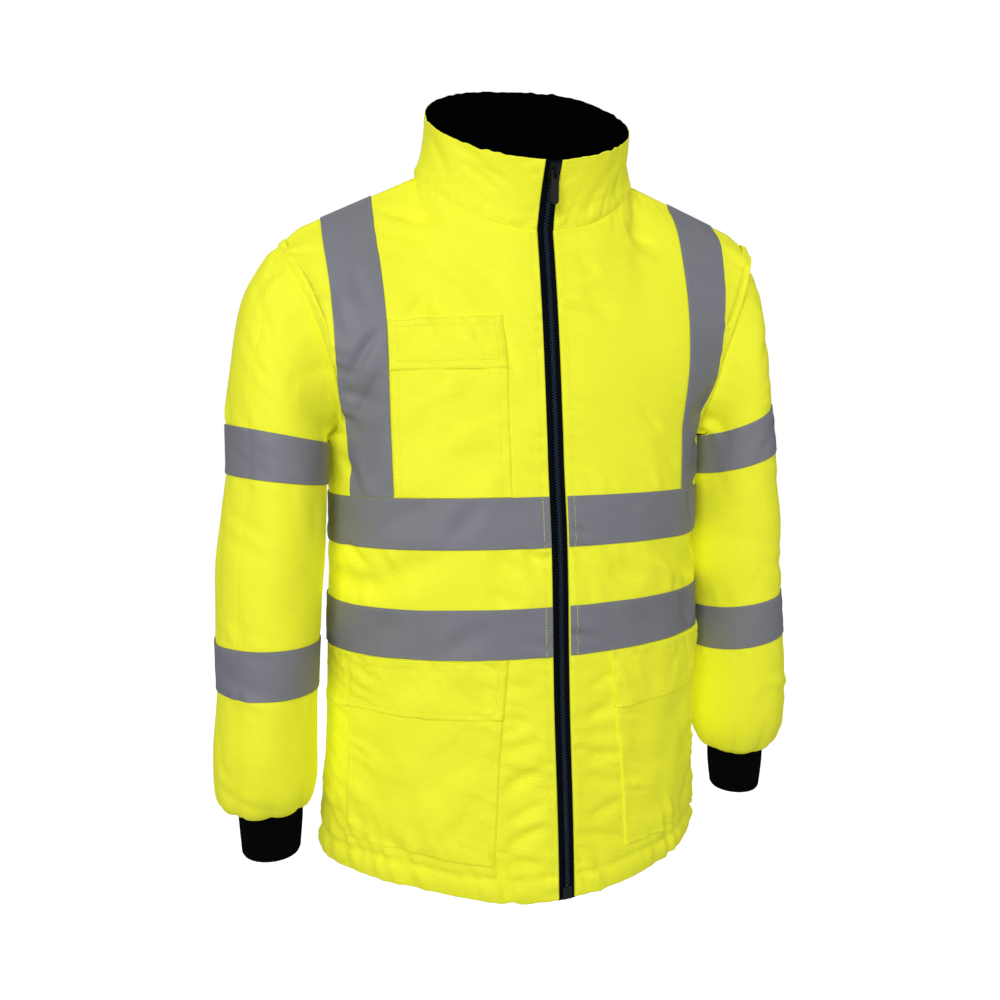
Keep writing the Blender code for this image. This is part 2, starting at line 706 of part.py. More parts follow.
def collar_panel(left, right, back):
    """Stand collar: the neck seam below, the rim above."""
    base = collar_base(left, right, back)
    share = lengths(base)
    middle_z = (RIM.front_z + RIM.back_z) / 2
    front_angle = math.asin(ZIP_EDGE / RIM.half_width)
    angle = front_angle + share * (2 * math.pi - 2 * front_angle)
    rim = np.stack([-RIM.half_width * np.sin(angle),
                    RIM.centre_y - RIM.half_depth * np.cos(angle),
                    middle_z - (RIM.back_z - RIM.front_z) / 2 * np.cos(angle)], axis=1)
    rim = worn(rim)
    rim[:, 2] += RIM_LIFT * ease(rim[:, 0], 0.0, 0.8 * RIM.half_width)
    height = np.linspace(0.0, 1.0, COLLAR_CELLS + 1)
    grid = base[:, None] + (rim - base)[:, None] * height[None, :, None]
    flat = grid.copy()
    flat[..., 1] -= RIM.centre_y
    flat[..., 2] = 0.0
    outward = flat / np.linalg.norm(flat, axis=2, keepdims=True)
    grid -= outward * (COLLAR_FLARE * np.sin(math.pi * height))[None, :, None]
    return Panel(grid, -grid_normals(grid))


def build_collar(left, right, back):
    """Collar cloth and, inside it, the dark lining that shows at the neck."""
    panel = collar_panel(left, right, back)
    everything = slice(None)
    edges = (COLLAR_EDGE_STEP, COLLAR_EDGE_STEP, COLLAR_RAISE)
    wall("collar", panel.part(everything, everything, 0.0, (*edges, 0)), CLOTH, YELLOW)
    lining = panel.part(everything, everything, -(CLOTH + LINING_GAP), (*edges, LINING_STEP))
    wall("collar_lining", lining, LINING, BLACK_FLEECE)
    return panel


# ---------------------------------------------------------------- sleeves

def armhole_ring():
    """The armhole edge as a closed ring on the wearer's left: top, front, underarm, back."""
    underarm = level_index("underarm")
    front = half_panel("front")[-1, underarm:]
    rear = half_panel("back")[-1, underarm:]
    shares = np.linspace(0.0, 1.0, SLEEVE_AROUND // 2 + 1)
    return np.concatenate([along(front[::-1], shares), along(rear, shares)[1:-1]])


def sleeve_ring(row, side):
    """One section of the sleeve, as a closed ring: outermost, front, innermost, back."""
    angle = np.arange(SLEEVE_AROUND) * 2 * math.pi / SLEEVE_AROUND
    outer_x = row.outer_x - (row.left_in if side == "left" else 0.0)
    outer = np.array([outer_x, row.centre_y, row.outer_z])
    inner = np.array([row.inner_x, row.centre_y, row.inner_z])
    centre = (outer + inner) / 2
    ring = centre + (outer - inner)[None, :] / 2 * np.cos(angle)[:, None]
    ring[:, 1] -= row.half_depth * np.sin(angle)
    ring[:, 2] -= row.back_rise / 2 * np.sin(angle)
    return ring


def sleeve_panel(side):
    """Sleeve of one arm, from under the armhole edge to the cuff seam."""
    hang = HANG[side]
    edge = armhole_ring()
    inward = edge.mean(axis=0) - edge
    inward[:, 0] = 0.0
    inward /= np.linalg.norm(inward, axis=1, keepdims=True)
    angle = np.arange(SLEEVE_AROUND) * 2 * math.pi / SLEEVE_AROUND
    step_down = LIP_STEP + LIP_CROWN * np.clip(np.cos(angle), 0.0, None) ** 2
    at_edge = edge + inward * step_down[:, None]
    rings = [at_edge - np.array([SLEEVE_START, 0.0, 0.0]), at_edge]
    for number, row in enumerate(SLEEVE):
        down = number / (len(SLEEVE) - 1)
        ring = sleeve_ring(row, side)
        end = ease(down, END_START, 1.0)
        ring[:, 2] += hang.outer_rise * math.sin(math.pi * down) * (1 + np.cos(angle)) / 2
        ring[:, 2] -= hang.end_drop * end
        ring[:, 0] += hang.out * ease(down, OUT_START, OUT_FULL) + (hang.end_out - hang.out) * end
        previous = rings[-1]
        for step in range(1, row.cells + 1):
            rings.append(previous + (ring - previous) * (step / row.cells))
    grid = np.stack(rings, axis=1)
    round_out(grid)
    degrees = np.degrees(np.where(angle > math.pi, angle - 2 * math.pi, angle))
    run = np.repeat(degrees[:, None], grid.shape[1], axis=1) * ARC_PER_DEGREE
    normals = grid_normals(grid, closed=True)
    grid = grid + normals * (gather_waves(grid) - fold_depth(SLEEVE_FOLDS, run, grid[..., 2]))[..., None]
    if side == "right":
        grid = grid[::-1] * (-1.0, 1.0, 1.0)
    grid = worn(grid, with_hem=False)
    return Panel(grid, grid_normals(grid, closed=True))


def round_out(grid):
    """Rounds the crown, where the sections turn from the armhole to the arm."""
    for _ in range(2):
        before = grid.copy()
        for j in range(2, 6):
            grid[:, j] = 0.5 * before[:, j] + 0.25 * (before[:, j - 1] + before[:, j + 1])


def sleeve_line(name):
    """Ring number of a named sleeve section."""
    count = 1
    for row in SLEEVE:
        count += row.cells
        if row.name == name:
            return count
    raise KeyError(name)


def gather_waves(grid):
    """Waves where the sleeve end is drawn in to the cuff."""
    wave = np.cos(np.arange(SLEEVE_AROUND) * GATHERS * 2 * math.pi / SLEEVE_AROUND)
    strength = np.zeros(grid.shape[1])
    strength[sleeve_line("gather")] = 0.5
    strength[sleeve_line("fold")] = 1.0
    strength[sleeve_line("cuff_seam")] = 0.3
    return GATHER_DEPTH * wave[:, None] * strength[None, :]


def build_sleeves():
    """Both sleeves with their reflective tapes and rib cuffs."""
    for side in ("left", "right"):
        panel = sleeve_panel(side)
        build_sleeve_halves(side, panel)
        for label, low, high in (("upper", "high_band_top", "high_band"),
                                 ("lower", "low_band_top", "low_band")):
            levels = cut(sleeve_line(low), sleeve_line(high))
            strip = panel.part(slice(None), levels, FLAT_GAP + TAPE)
            wall(f"{label}_sleeve_band_{side}", strip, TAPE, SILVER, closed=True)
        wall(f"cuff_{side}", cuff_panel(side), RIB_KNIT, BLACK_KNIT, closed=True)


def build_sleeve_halves(side, panel):
    """Front and back half of a sleeve, sewn along the outer front and the inner back."""
    first, second = FRONT_SEAM, BACK_SEAM
    if side == "right":
        first, second = SLEEVE_AROUND - 1 - BACK_SEAM, SLEEVE_AROUND - 1 - FRONT_SEAM
    front = np.arange(first, second + 1)
    rear = np.arange(second, first + SLEEVE_AROUND + 1) % SLEEVE_AROUND
    for half, around in (("front", front), ("back", rear)):
        piece = panel.part(around, slice(None), 0.0, (SEAM_GAP / 2, SEAM_GAP / 2, 0, 0))
        wall(f"sleeve_{side}_{half}", piece, CLOTH, YELLOW)


def cuff_panel(side):
    """Rib-knit cuff: ribs raised on the outside over a plain inside."""
    hang = HANG[side]
    count = CUFF_RIBS * 2
    angle = np.arange(count) * 2 * math.pi / count
    rings = []
    for row in CUFF:
        middle = (row.outer_x + row.inner_x) / 2 + hang.end_out
        radius = (row.outer_x - row.inner_x) / 2
        rings.append(np.stack([middle + radius * np.cos(angle),
                               SLEEVE[-1].centre_y - row.half_depth * np.sin(angle),
                               np.full(count, row.z - hang.end_drop)], axis=1))
    grid = np.stack(rings, axis=1)
    if side == "right":
        grid = grid[::-1] * (-1.0, 1.0, 1.0)
    normals = grid_normals(grid, closed=True)
    ribs = np.where(np.arange(count) % 2 == 0, RIB_HEIGHT, 0.0)[:, None, None]
    return Panel(grid + normals * ribs, normals * (1 + ribs / RIB_KNIT))


# ---------------------------------------------------------------- zip

def zip_path(left, right, collar):
    """Centre-front line from the hem to the collar's rim: places, sideways and outward directions."""
    first = np.concatenate([right.grid[-1], collar.grid[0][1:]])
    second = np.concatenate([left.grid[0], collar.grid[-1][1:]])
    path = (first + second) / 2
    sideways = second - first
    sideways /= np.linalg.norm(sideways, axis=1, keepdims=True)
    upward = np.gradient(path, axis=0)
    normal = np.cross(sideways, upward)
    normal /= np.linalg.norm(normal, axis=1, keepdims=True)
    return path, sideways, normal


def zip_strip(line, start, stop, lift):
    """A strip beside the centre-front line, as a panel."""
    path, sideways, normal = line
    grid = np.stack([path + sideways * x + normal * lift for x in (start, stop)])
    return Panel(grid, np.stack([normal, normal]))


def build_zip(left, right, collar):
    """Tapes behind the front edges, the chain between them, its box, slider and pull tab."""
    line = zip_path(left, right, collar)
    everything = slice(None)
    for side, sign in (("left", 1.0), ("right", -1.0)):
        edges = sorted((sign * ZIP_TAPE_INNER, sign * ZIP_TAPE_REACH))
        wall(f"zip_tape_{side}", zip_strip(line, *edges, -ZIP_TAPE_DEPTH), TAPE, NAVY_TAPE)
    chain = zip_strip(line, -CHAIN_HALF, CHAIN_HALF, CHAIN_FACE)
    trim = (0, 0, BOX_LENGTH + 2 * SEAM_GAP + BOX_RISE, CHAIN_TOP)
    wall("zip_chain", chain.part(everything, everything, trim=trim), CHAIN_HEIGHT, NAVY_PLASTIC)
    build_box(line)
    build_slider(line)


def frame_at(line, index, rise):
    """Matrix of a place on the zip: X sideways, Y into the cloth, Z up along the zip."""
    path, sideways, normal = line
    neighbour = path[index + 1] if rise > 0 else path[index - 1]
    upward = (neighbour - path[index]) * (1 if rise > 0 else -1)
    upward /= np.linalg.norm(upward)
    place = path[index] + upward * rise
    outward = np.cross(sideways[index], upward)
    matrix = Matrix((sideways[index], -outward, upward)).transposed().to_4x4()
    matrix.translation = Vector(place * MM)
    return matrix


def prism(outline, axis, low, high):
    """A bmesh of a closed outline drawn out along an axis, in millimetres."""
    bm = bmesh.new()
    corners = [bm.verts.new(np.insert(np.array(point, float), axis, low) * MM) for point in outline]
    face = bm.faces.new(corners)
    swept = bmesh.ops.extrude_face_region(bm, geom=[face])
    moved = [item for item in swept["geom"] if isinstance(item, bmesh.types.BMVert)]
    shift = Vector(np.insert(np.zeros(2), axis, (high - low) * MM))
    bmesh.ops.translate(bm, verts=moved, vec=shift)
    return bm


def build_box(line):
    """The retaining box that closes the zip's lower end."""
    depth = ZIP_TAPE_DEPTH - SEAM_GAP
    outline = [(-BOX_HALF, -BOX_FACE), (BOX_HALF, -BOX_FACE), (BOX_HALF, depth), (-BOX_HALF, depth)]
    bm = prism(outline, 2, BOX_RISE, BOX_RISE + BOX_LENGTH)
    edges = [edge for edge in bm.edges if all(vert.co.y < 0 for vert in edge.verts)]
    bmesh.ops.bevel(bm, geom=edges, offset=BOX_ROUND * MM, segments=2, profile=0.5, affect="EDGES", material=-1)
    bmesh.ops.transform(bm, matrix=frame_at(line, 0, 0.001), verts=bm.verts)
    add_object("zip_box", bm, NAVY_PLASTIC)


def build_slider(line):
    """Slider near the rim: a plate with two flanges over the chain, a bridge, and the pull tab."""
    frame = frame_at(line, -1, -SLIDER_DROP)
    plate = -(CHAIN_FACE + SEAM_GAP)
    face = plate - PLATE_THICKNESS
    foot = ZIP_TAPE_DEPTH - SEAM_GAP
    half, flange = SLIDER_HALF, SLIDER_HALF - FLANGE_THICKNESS
    outline = [(-half, face), (half, face), (half, foot), (flange, foot), (flange, plate),
               (-flange, plate), (-flange, foot), (-half, foot)]
    bm = prism(outline, 2, -SLIDER_LENGTH / 2, SLIDER_LENGTH / 2)
    rim = [edge for edge in bm.edges if all(vert.co.y < (face + 0.1) * MM for vert in edge.verts)]
    bmesh.ops.bevel(bm, geom=rim, offset=PLATE_ROUND * MM, segments=1, profile=0.5, affect="EDGES", material=-1)
    bmesh.ops.transform(bm, matrix=frame, verts=bm.verts)
    slider = add_object("zip_slider", bm, BLACK_METAL)
    bridge = add_object("slider_bridge_cutter", bridge_mesh(face, frame), BLACK_METAL)
    bridge.hide_render = True
    bridge.display_type = "WIRE"
    join = slider.modifiers.new("bridge", "BOOLEAN")
    join.operation = "UNION"
    join.object = bridge
    pivot = frame @ Vector((0.0, (face - BRIDGE_HOLE) * MM, 0.0))
    build_pull(pivot)


def bridge_mesh(face, frame):
    """Arch on the slider's face that holds the pull tab."""
    top = face - 2 * BRIDGE_HOLE - BRIDGE_WALL
    inner = face - 2 * BRIDGE_HOLE
    foot = face + BRIDGE_ROOT
    reach = BRIDGE_HOLE + BRIDGE_WALL
    flat = reach - BRIDGE_ROUND
    side = [(foot, -reach), (top + BRIDGE_ROUND, -reach), (top, -flat), (top, flat),
            (top + BRIDGE_ROUND, reach), (foot, reach), (foot, BRIDGE_HOLE), (inner, BRIDGE_HOLE),
            (inner, -BRIDGE_HOLE), (foot, -BRIDGE_HOLE)]
    bm = prism(side, 0, -BRIDGE_HALF, BRIDGE_HALF)
    bmesh.ops.transform(bm, matrix=frame, verts=bm.verts)
    return bm


def build_pull(pivot):
    """Pull tab hanging from the bridge: a flat plate with a window, its top bar in the bridge."""
    bar = PULL_THICKNESS / 2
    turn = [math.radians(angle) for angle in range(0, 181, 30)]
    end = [(PULL_HALF * math.cos(a), -PULL_LENGTH + PULL_HALF - PULL_HALF * math.sin(a)) for a in turn]
    flat = PULL_HALF - PULL_ROUND
    outer = [(-flat, bar), (flat, bar), (PULL_HALF, bar - PULL_ROUND), *end,
             (-PULL_HALF, bar - PULL_ROUND)]
    window = [(-WINDOW_HALF, -bar), (WINDOW_HALF, -bar), (WINDOW_HALF, -WINDOW_LENGTH),
              (-WINDOW_HALF, -WINDOW_LENGTH)]
    pull = add_object("zip_pull", prism(outer, 1, -bar, bar), BLACK_METAL)
    cutter = add_object("pull_window_cutter", prism(window, 1, -2 * bar, 2 * bar), BLACK_METAL)
    cut_window = pull.modifiers.new("window", "BOOLEAN")
    cut_window.object = cutter
    cutter.hide_render = True
    cutter.display_type = "WIRE"
    for piece in (pull, cutter):
        piece.location = pivot


# ---------------------------------------------------------------- all

def main():
    """Builds the whole jacket."""
    for old in list(bpy.data.objects):
        bpy.data.objects.remove(old, do_unlink=True)
    left, right, back = body_panels()
    build_body(left, right, back)
    build_bands(left, right, back)
    build_braces(left, right, back)
    build_pockets(left, right)
    collar = build_collar(left, right, back)
    build_sleeves()
    build_zip(left, right, collar)


main()
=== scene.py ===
"""Dresses the hi-vis work jacket: cloth shells, tapes, stitching, zip, cuffs and a plain studio.

Lengths in the tables and fields are millimetres; the meshes are metres. +Z is up, the fronts face
-Y and the wearer's left is +X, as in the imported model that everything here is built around.
"""

import logging
import math
from collections.abc import Callable, Sequence
from dataclasses import dataclass, field
from enum import Enum
from functools import partial
from typing import Any, NamedTuple

import bmesh
import bpy
import numpy as np
from bmesh.types import BMesh
from bpy.types import Material, Mesh, Node, NodeSocket, NodeTree, Object
from mathutils import Matrix, Vector


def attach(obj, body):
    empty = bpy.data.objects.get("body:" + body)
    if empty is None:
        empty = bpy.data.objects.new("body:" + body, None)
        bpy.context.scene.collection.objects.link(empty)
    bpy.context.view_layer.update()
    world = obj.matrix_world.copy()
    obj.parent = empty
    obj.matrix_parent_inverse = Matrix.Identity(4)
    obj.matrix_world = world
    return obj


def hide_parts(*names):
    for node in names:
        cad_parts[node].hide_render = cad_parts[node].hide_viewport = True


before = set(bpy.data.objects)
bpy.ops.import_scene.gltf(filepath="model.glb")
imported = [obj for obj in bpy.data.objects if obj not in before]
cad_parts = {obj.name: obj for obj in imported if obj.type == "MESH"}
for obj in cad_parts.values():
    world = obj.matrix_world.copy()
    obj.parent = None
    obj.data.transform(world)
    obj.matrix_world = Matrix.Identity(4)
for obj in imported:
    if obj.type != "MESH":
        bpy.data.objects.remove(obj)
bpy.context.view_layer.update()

LOG = logging.getLogger("jacket")
MM = 0.001
BODY_NAME = "jacket"
# Points of a dense curve; cells over which a seam's puckers fade at its ends; range of the waves'
# random starts; width of the thread on the tapes; guard against division by nothing
SAMPLES = 160
SPAN_FADE = 0.25
PHASES = 6.28
TAPE_THREAD = 0.55
TINY = 1e-9
Array = np.ndarray


# ---------------------------------------------------------------- tables of the worn form

class Table:
    """Sizes in named columns."""

    def __init__(self, names: str, *rows: tuple) -> None:
        """Stores the rows by column.

        Args:
            names: column names, parted by spaces.
            rows: one tuple of sizes for each row.
        """
        self.names = names.split()
        self.rows = rows

    def __getattr__(self, name: str) -> Array:
        """A column as an array.

        Args:
            name: the column's name.

        Returns:
            The column, as numbers unless it holds the names.
        """
        if name.startswith("_") or name not in self.names:
            raise AttributeError(name)
        place = self.names.index(name)
        return np.array([row[place] for row in self.rows], dtype=object if name == "name" else float)


HEM_Z, LOWER_BAND_Z, UPPER_BAND_Z, UNDERARM_Z, YOKE_Z = -731.0, -456.5, -348.0, -266.0, -150.0
BODY = Table("z half_width front back squareness",
    (HEM_Z, 223.5, 149.0, 131.0, 1.8),
    (-680.0, 222.0, 147.0, 129.0, 1.85),
    (-620.0, 217.5, 143.5, 125.0, 1.9),
    (-540.0, 215.0, 138.0, 121.0, 1.98),
    (LOWER_BAND_Z, 213.0, 134.0, 119.0, 2.08),
    (-400.0, 210.5, 131.0, 119.0, 2.18),
    (UPPER_BAND_Z, 209.0, 126.0, 121.0, 2.22),
    (-300.0, 210.0, 119.0, 124.0, 2.3),
    (UNDERARM_Z, 212.0, 115.5, 126.0, 2.3),
    (-200.0, 214.0, 106.0, 127.0, 2.3),
    (YOKE_Z, 216.0, 97.0, 121.0, 2.3),
    (-100.0, 218.0, 86.5, 106.0, 2.3),
    (-59.0, 220.0, 78.0, 94.0, 2.3),
    (30.0, 220.0, 60.0, 66.0, 2.3))
NECK_START = {"front": -59.0, "back": 30.0}
NECK_SIDE = (120.0, -8.0, 6.0)
SHOULDER_TIP = (262.0, -38.0, -63.0)
ARMHOLE = {"front": Table("z x y", (UNDERARM_Z, 212.0, 0.0), (-262.0, 207.5, -26.0), (-250.0, 204.0, -46.0),
                          (-228.0, 206.5, -61.0), (-200.0, 212.5, -70.0), (-175.0, 219.0, -75.0),
                          (YOKE_Z, 227.0, -77.0), (-120.0, 238.0, -75.0), (-95.0, 249.0, -66.0),
                          (-75.0, 258.0, -52.0), (SHOULDER_TIP[2], SHOULDER_TIP[0], SHOULDER_TIP[1])),
           "back": Table("z x y", (UNDERARM_Z, 212.0, 0.0), (-262.0, 210.5, 27.0), (-250.0, 209.5, 46.0),
                         (-228.0, 211.0, 62.0), (-200.0, 215.5, 72.0), (-175.0, 221.0, 75.0),
                         (YOKE_Z, 227.5, 71.0), (-120.0, 237.0, 57.0), (-95.0, 248.0, 31.0),
                         (-75.0, 258.0, -6.0), (SHOULDER_TIP[2], SHOULDER_TIP[0], SHOULDER_TIP[1]))}
# Lengthwise lines: distance from the centre line at the hem and at the chest, share of the shoulder
COLUMNS = Table("name hem chest shoulder cells",
    ("zip", 8.5, 8.5, math.nan, 0),
    ("pocket_in", 74.0, 47.0, math.nan, 2),
    ("neck", 122.0, 112.0, 0.0, 2),
    ("brace_in", 178.0, 163.0, 0.33, 2),
    ("brace_out", 236.0, 213.0, 0.69, 2),
    ("side", math.nan, math.nan, 1.0, 2))
LEVELS = Table("name z cells",
               ("hem", HEM_Z, 0), ("pocket_base", -693.0, 2), ("pocket_flap", -543.0, 4),
               ("lower_band", -481.5, 2), ("lower_band_top", -431.5, 2), ("upper_band", -373.0, 2),
               ("upper_band_top", -323.0, 2), ("underarm", UNDERARM_Z, 2), ("armpit", -257.0, 1),
               ("chest_flap", -197.0, 3), ("yoke", YOKE_Z, 2), ("top", math.nan, 4))
SLEEVE = Table("name outer_x left_in outer_z inner_x inner_z centre_y half_depth back_rise cells",
    ("crown", 277.0, 7.0, -81.0, 214.0, -267.0, -10.0, 70.0, 0.0, 1),
    ("cap", 298.0, 19.0, -109.0, 214.0, -267.5, -13.0, 71.0, 0.0, 1),
    ("bicep", 304.0, 20.0, -160.0, 213.0, -268.0, -17.0, 71.5, 0.0, 1),
    ("high_band_top", 310.0, 18.0, -248.0, 213.0, -269.5, -21.0, 71.0, -2.0, 2),
    ("high_band", 311.0, 12.0, -299.0, 213.5, -312.0, -23.0, 71.0, -2.0, 2),
    ("elbow", 322.0, 10.5, -383.0, 216.0, -390.0, -25.0, 70.0, -4.0, 2),
    ("low_band_top", 324.0, 8.0, -465.0, 222.0, -468.0, -26.0, 68.0, -6.0, 2),
    ("low_band", 323.0, 0.5, -513.0, 223.5, -517.0, -27.0, 67.0, -6.0, 2),
    ("forearm", 328.0, -3.0, -578.0, 225.5, -580.0, -27.0, 65.0, -4.0, 2),
    ("gather", 328.0, -5.0, -616.0, 227.0, -616.0, -26.0, 58.0, -2.0, 1),
    ("fold", 323.0, -2.0, -636.0, 234.5, -636.0, -25.0, 45.0, 0.0, 1),
    ("cuff_seam", 310.5, 0.0, -642.0, 243.0, -642.0, -24.0, 33.5, 0.0, 1))


class Hang(NamedTuple):
    """How an arm hangs: its middle drawn up, its lower half moved out, its end lower."""

    outer_rise: float
    out: float
    end_out: float
    end_drop: float


class Side(Enum):
    """The wearer's side, with its sign along X and how its arm hangs."""

    LEFT = (1, Hang(20.0, -4.5, 0.5, 6.0))
    RIGHT = (-1, Hang(0.0, 4.5, 2.0, 0.0))

    @property
    def sign(self) -> int:
        """Sign of the side along X."""
        return self.value[0]

    @property
    def hang(self) -> Hang:
        """How the arm on this side hangs."""
        return self.value[1]

    @property
    def label(self) -> str:
        """The side's word in piece names."""
        return self.name.lower()


# ---------------------------------------------------------------- curves

def ease(value: Any, low: float, high: float) -> Any:
    """Smooth step.

    Args:
        value: number or array.
        low: where the step starts.
        high: where it ends.

    Returns:
        0 at low, 1 at high, smooth between them.
    """
    t = np.clip((np.asarray(value, float) - low) / (high - low), 0.0, 1.0)
    return t * t * (3 - 2 * t)


def smooth_curve(keys: Array, values: Array, at: Any) -> Array:
    """Cubic curve through values, with tangents from the neighbouring points.

    Args:
        keys: rising places.
        values: one value or point for each place.
        at: places to read.

    Returns:
        The curve's values there.
    """
    slopes = np.gradient(values, keys, axis=0)
    at = np.clip(np.asarray(at, float), keys[0], keys[-1])
    cell = np.clip(np.searchsorted(keys, at, side="right") - 1, 0, len(keys) - 2)
    width = keys[cell + 1] - keys[cell]
    t = (at - keys[cell]) / width
    if values.ndim > 1:
        t, width = t[..., None], width[..., None]
    return ((2 * t ** 3 - 3 * t ** 2 + 1) * values[cell] + (t ** 3 - 2 * t ** 2 + t) * width * slopes[cell]
            + (3 * t ** 2 - 2 * t ** 3) * values[cell + 1] + (t ** 3 - t ** 2) * width * slopes[cell + 1])


def run_along(points: Array) -> Array:
    """Length run along a polyline or a grid's first axis."""
    steps = np.linalg.norm(np.diff(points, axis=0), axis=-1)
    return np.concatenate([np.zeros((1, *steps.shape[1:])), np.cumsum(steps, axis=0)])


def read_along(keys: Array, points: Array, wanted: Any) -> Array:
    """Points at wanted places between rising keys."""
    return np.stack([np.interp(wanted, keys, points[:, axis]) for axis in range(3)], axis=-1)


def along(points: Array, shares: Any) -> Array:
    """Points of a polyline.

    Args:
        points: the polyline.
        shares: shares of its length.

    Returns:
        The points at those shares.
    """
    run = run_along(points)
    return read_along(run, points, np.asarray(shares, float) * run[-1])


def spread(knots: Sequence[float], cells: Sequence[float]) -> Array:
    """Even subdivision between knots.

    Args:
        knots: places of the named lines.
        cells: number of cells before each knot; the first isn't used.

    Returns:
        Places of all lines.
    """
    values = [knots[0]]
    for start, stop, count in zip(knots, knots[1:], cells[1:]):
        values.extend(np.linspace(start, stop, int(count) + 1)[1:])
    return np.array(values)


def line_of(table: Table, name: str, first: int = 0) -> int:
    """Number of a named line in a grid.

    Args:
        table: the table that names the lines and their cells.
        name: the line.
        first: number of the table's first line.

    Returns:
        The line's number.
    """
    names = list(table.name)
    return first + int(table.cells[:names.index(name) + 1].sum())


def column(name: str) -> int:
    """Number of a lengthwise line of a half panel."""
    return line_of(COLUMNS, name)


def level(name: str) -> int:
    """Number of a crosswise line of a body panel."""
    return line_of(LEVELS, name)


def sleeve_line(name: str) -> int:
    """Number of a sleeve ring."""
    return line_of(SLEEVE, name, 1)


# ---------------------------------------------------------------- the worn form

@dataclass(frozen=True)
class WornPose:
    """The worn jacket's unevenness: a leaning neck, a higher shoulder, a turned and lifted hem."""

    neck_lean: float = 5.0
    shoulder_tilt: float = 0.045
    hem_turn: float = math.radians(2.2)
    hem_shift: float = -3.0
    hem_lift: float = 22.0

    def place(self, points: Array, with_hem: bool = True) -> Array:
        """Moves points of the even form to where they are worn.

        Args:
            points: points of the even form.
            with_hem: whether the hem's turn and lift reach them.

        Returns:
            The moved points.
        """
        points = np.array(points, float)
        x, y, z = (points[..., axis].copy() for axis in range(3))
        neck_z = NECK_START["front"]
        lean = self.neck_lean / 2 * (ease(z, UNDERARM_Z, neck_z) + ease(z, neck_z, 10.0))
        low = (1.0 - ease(z, HEM_Z, LOWER_BAND_Z)) * with_hem
        turn = self.hem_turn * low
        points[..., 0] = x * np.cos(turn) - y * np.sin(turn) + lean + self.hem_shift * low
        points[..., 1] = x * np.sin(turn) + y * np.cos(turn)
        lifted = self.shoulder_tilt * x * ease(z, -326.0, -90.0)
        points[..., 2] = z + lifted + self.hem_lift * low * ease(-x, 20.0, 200.0)
        return points


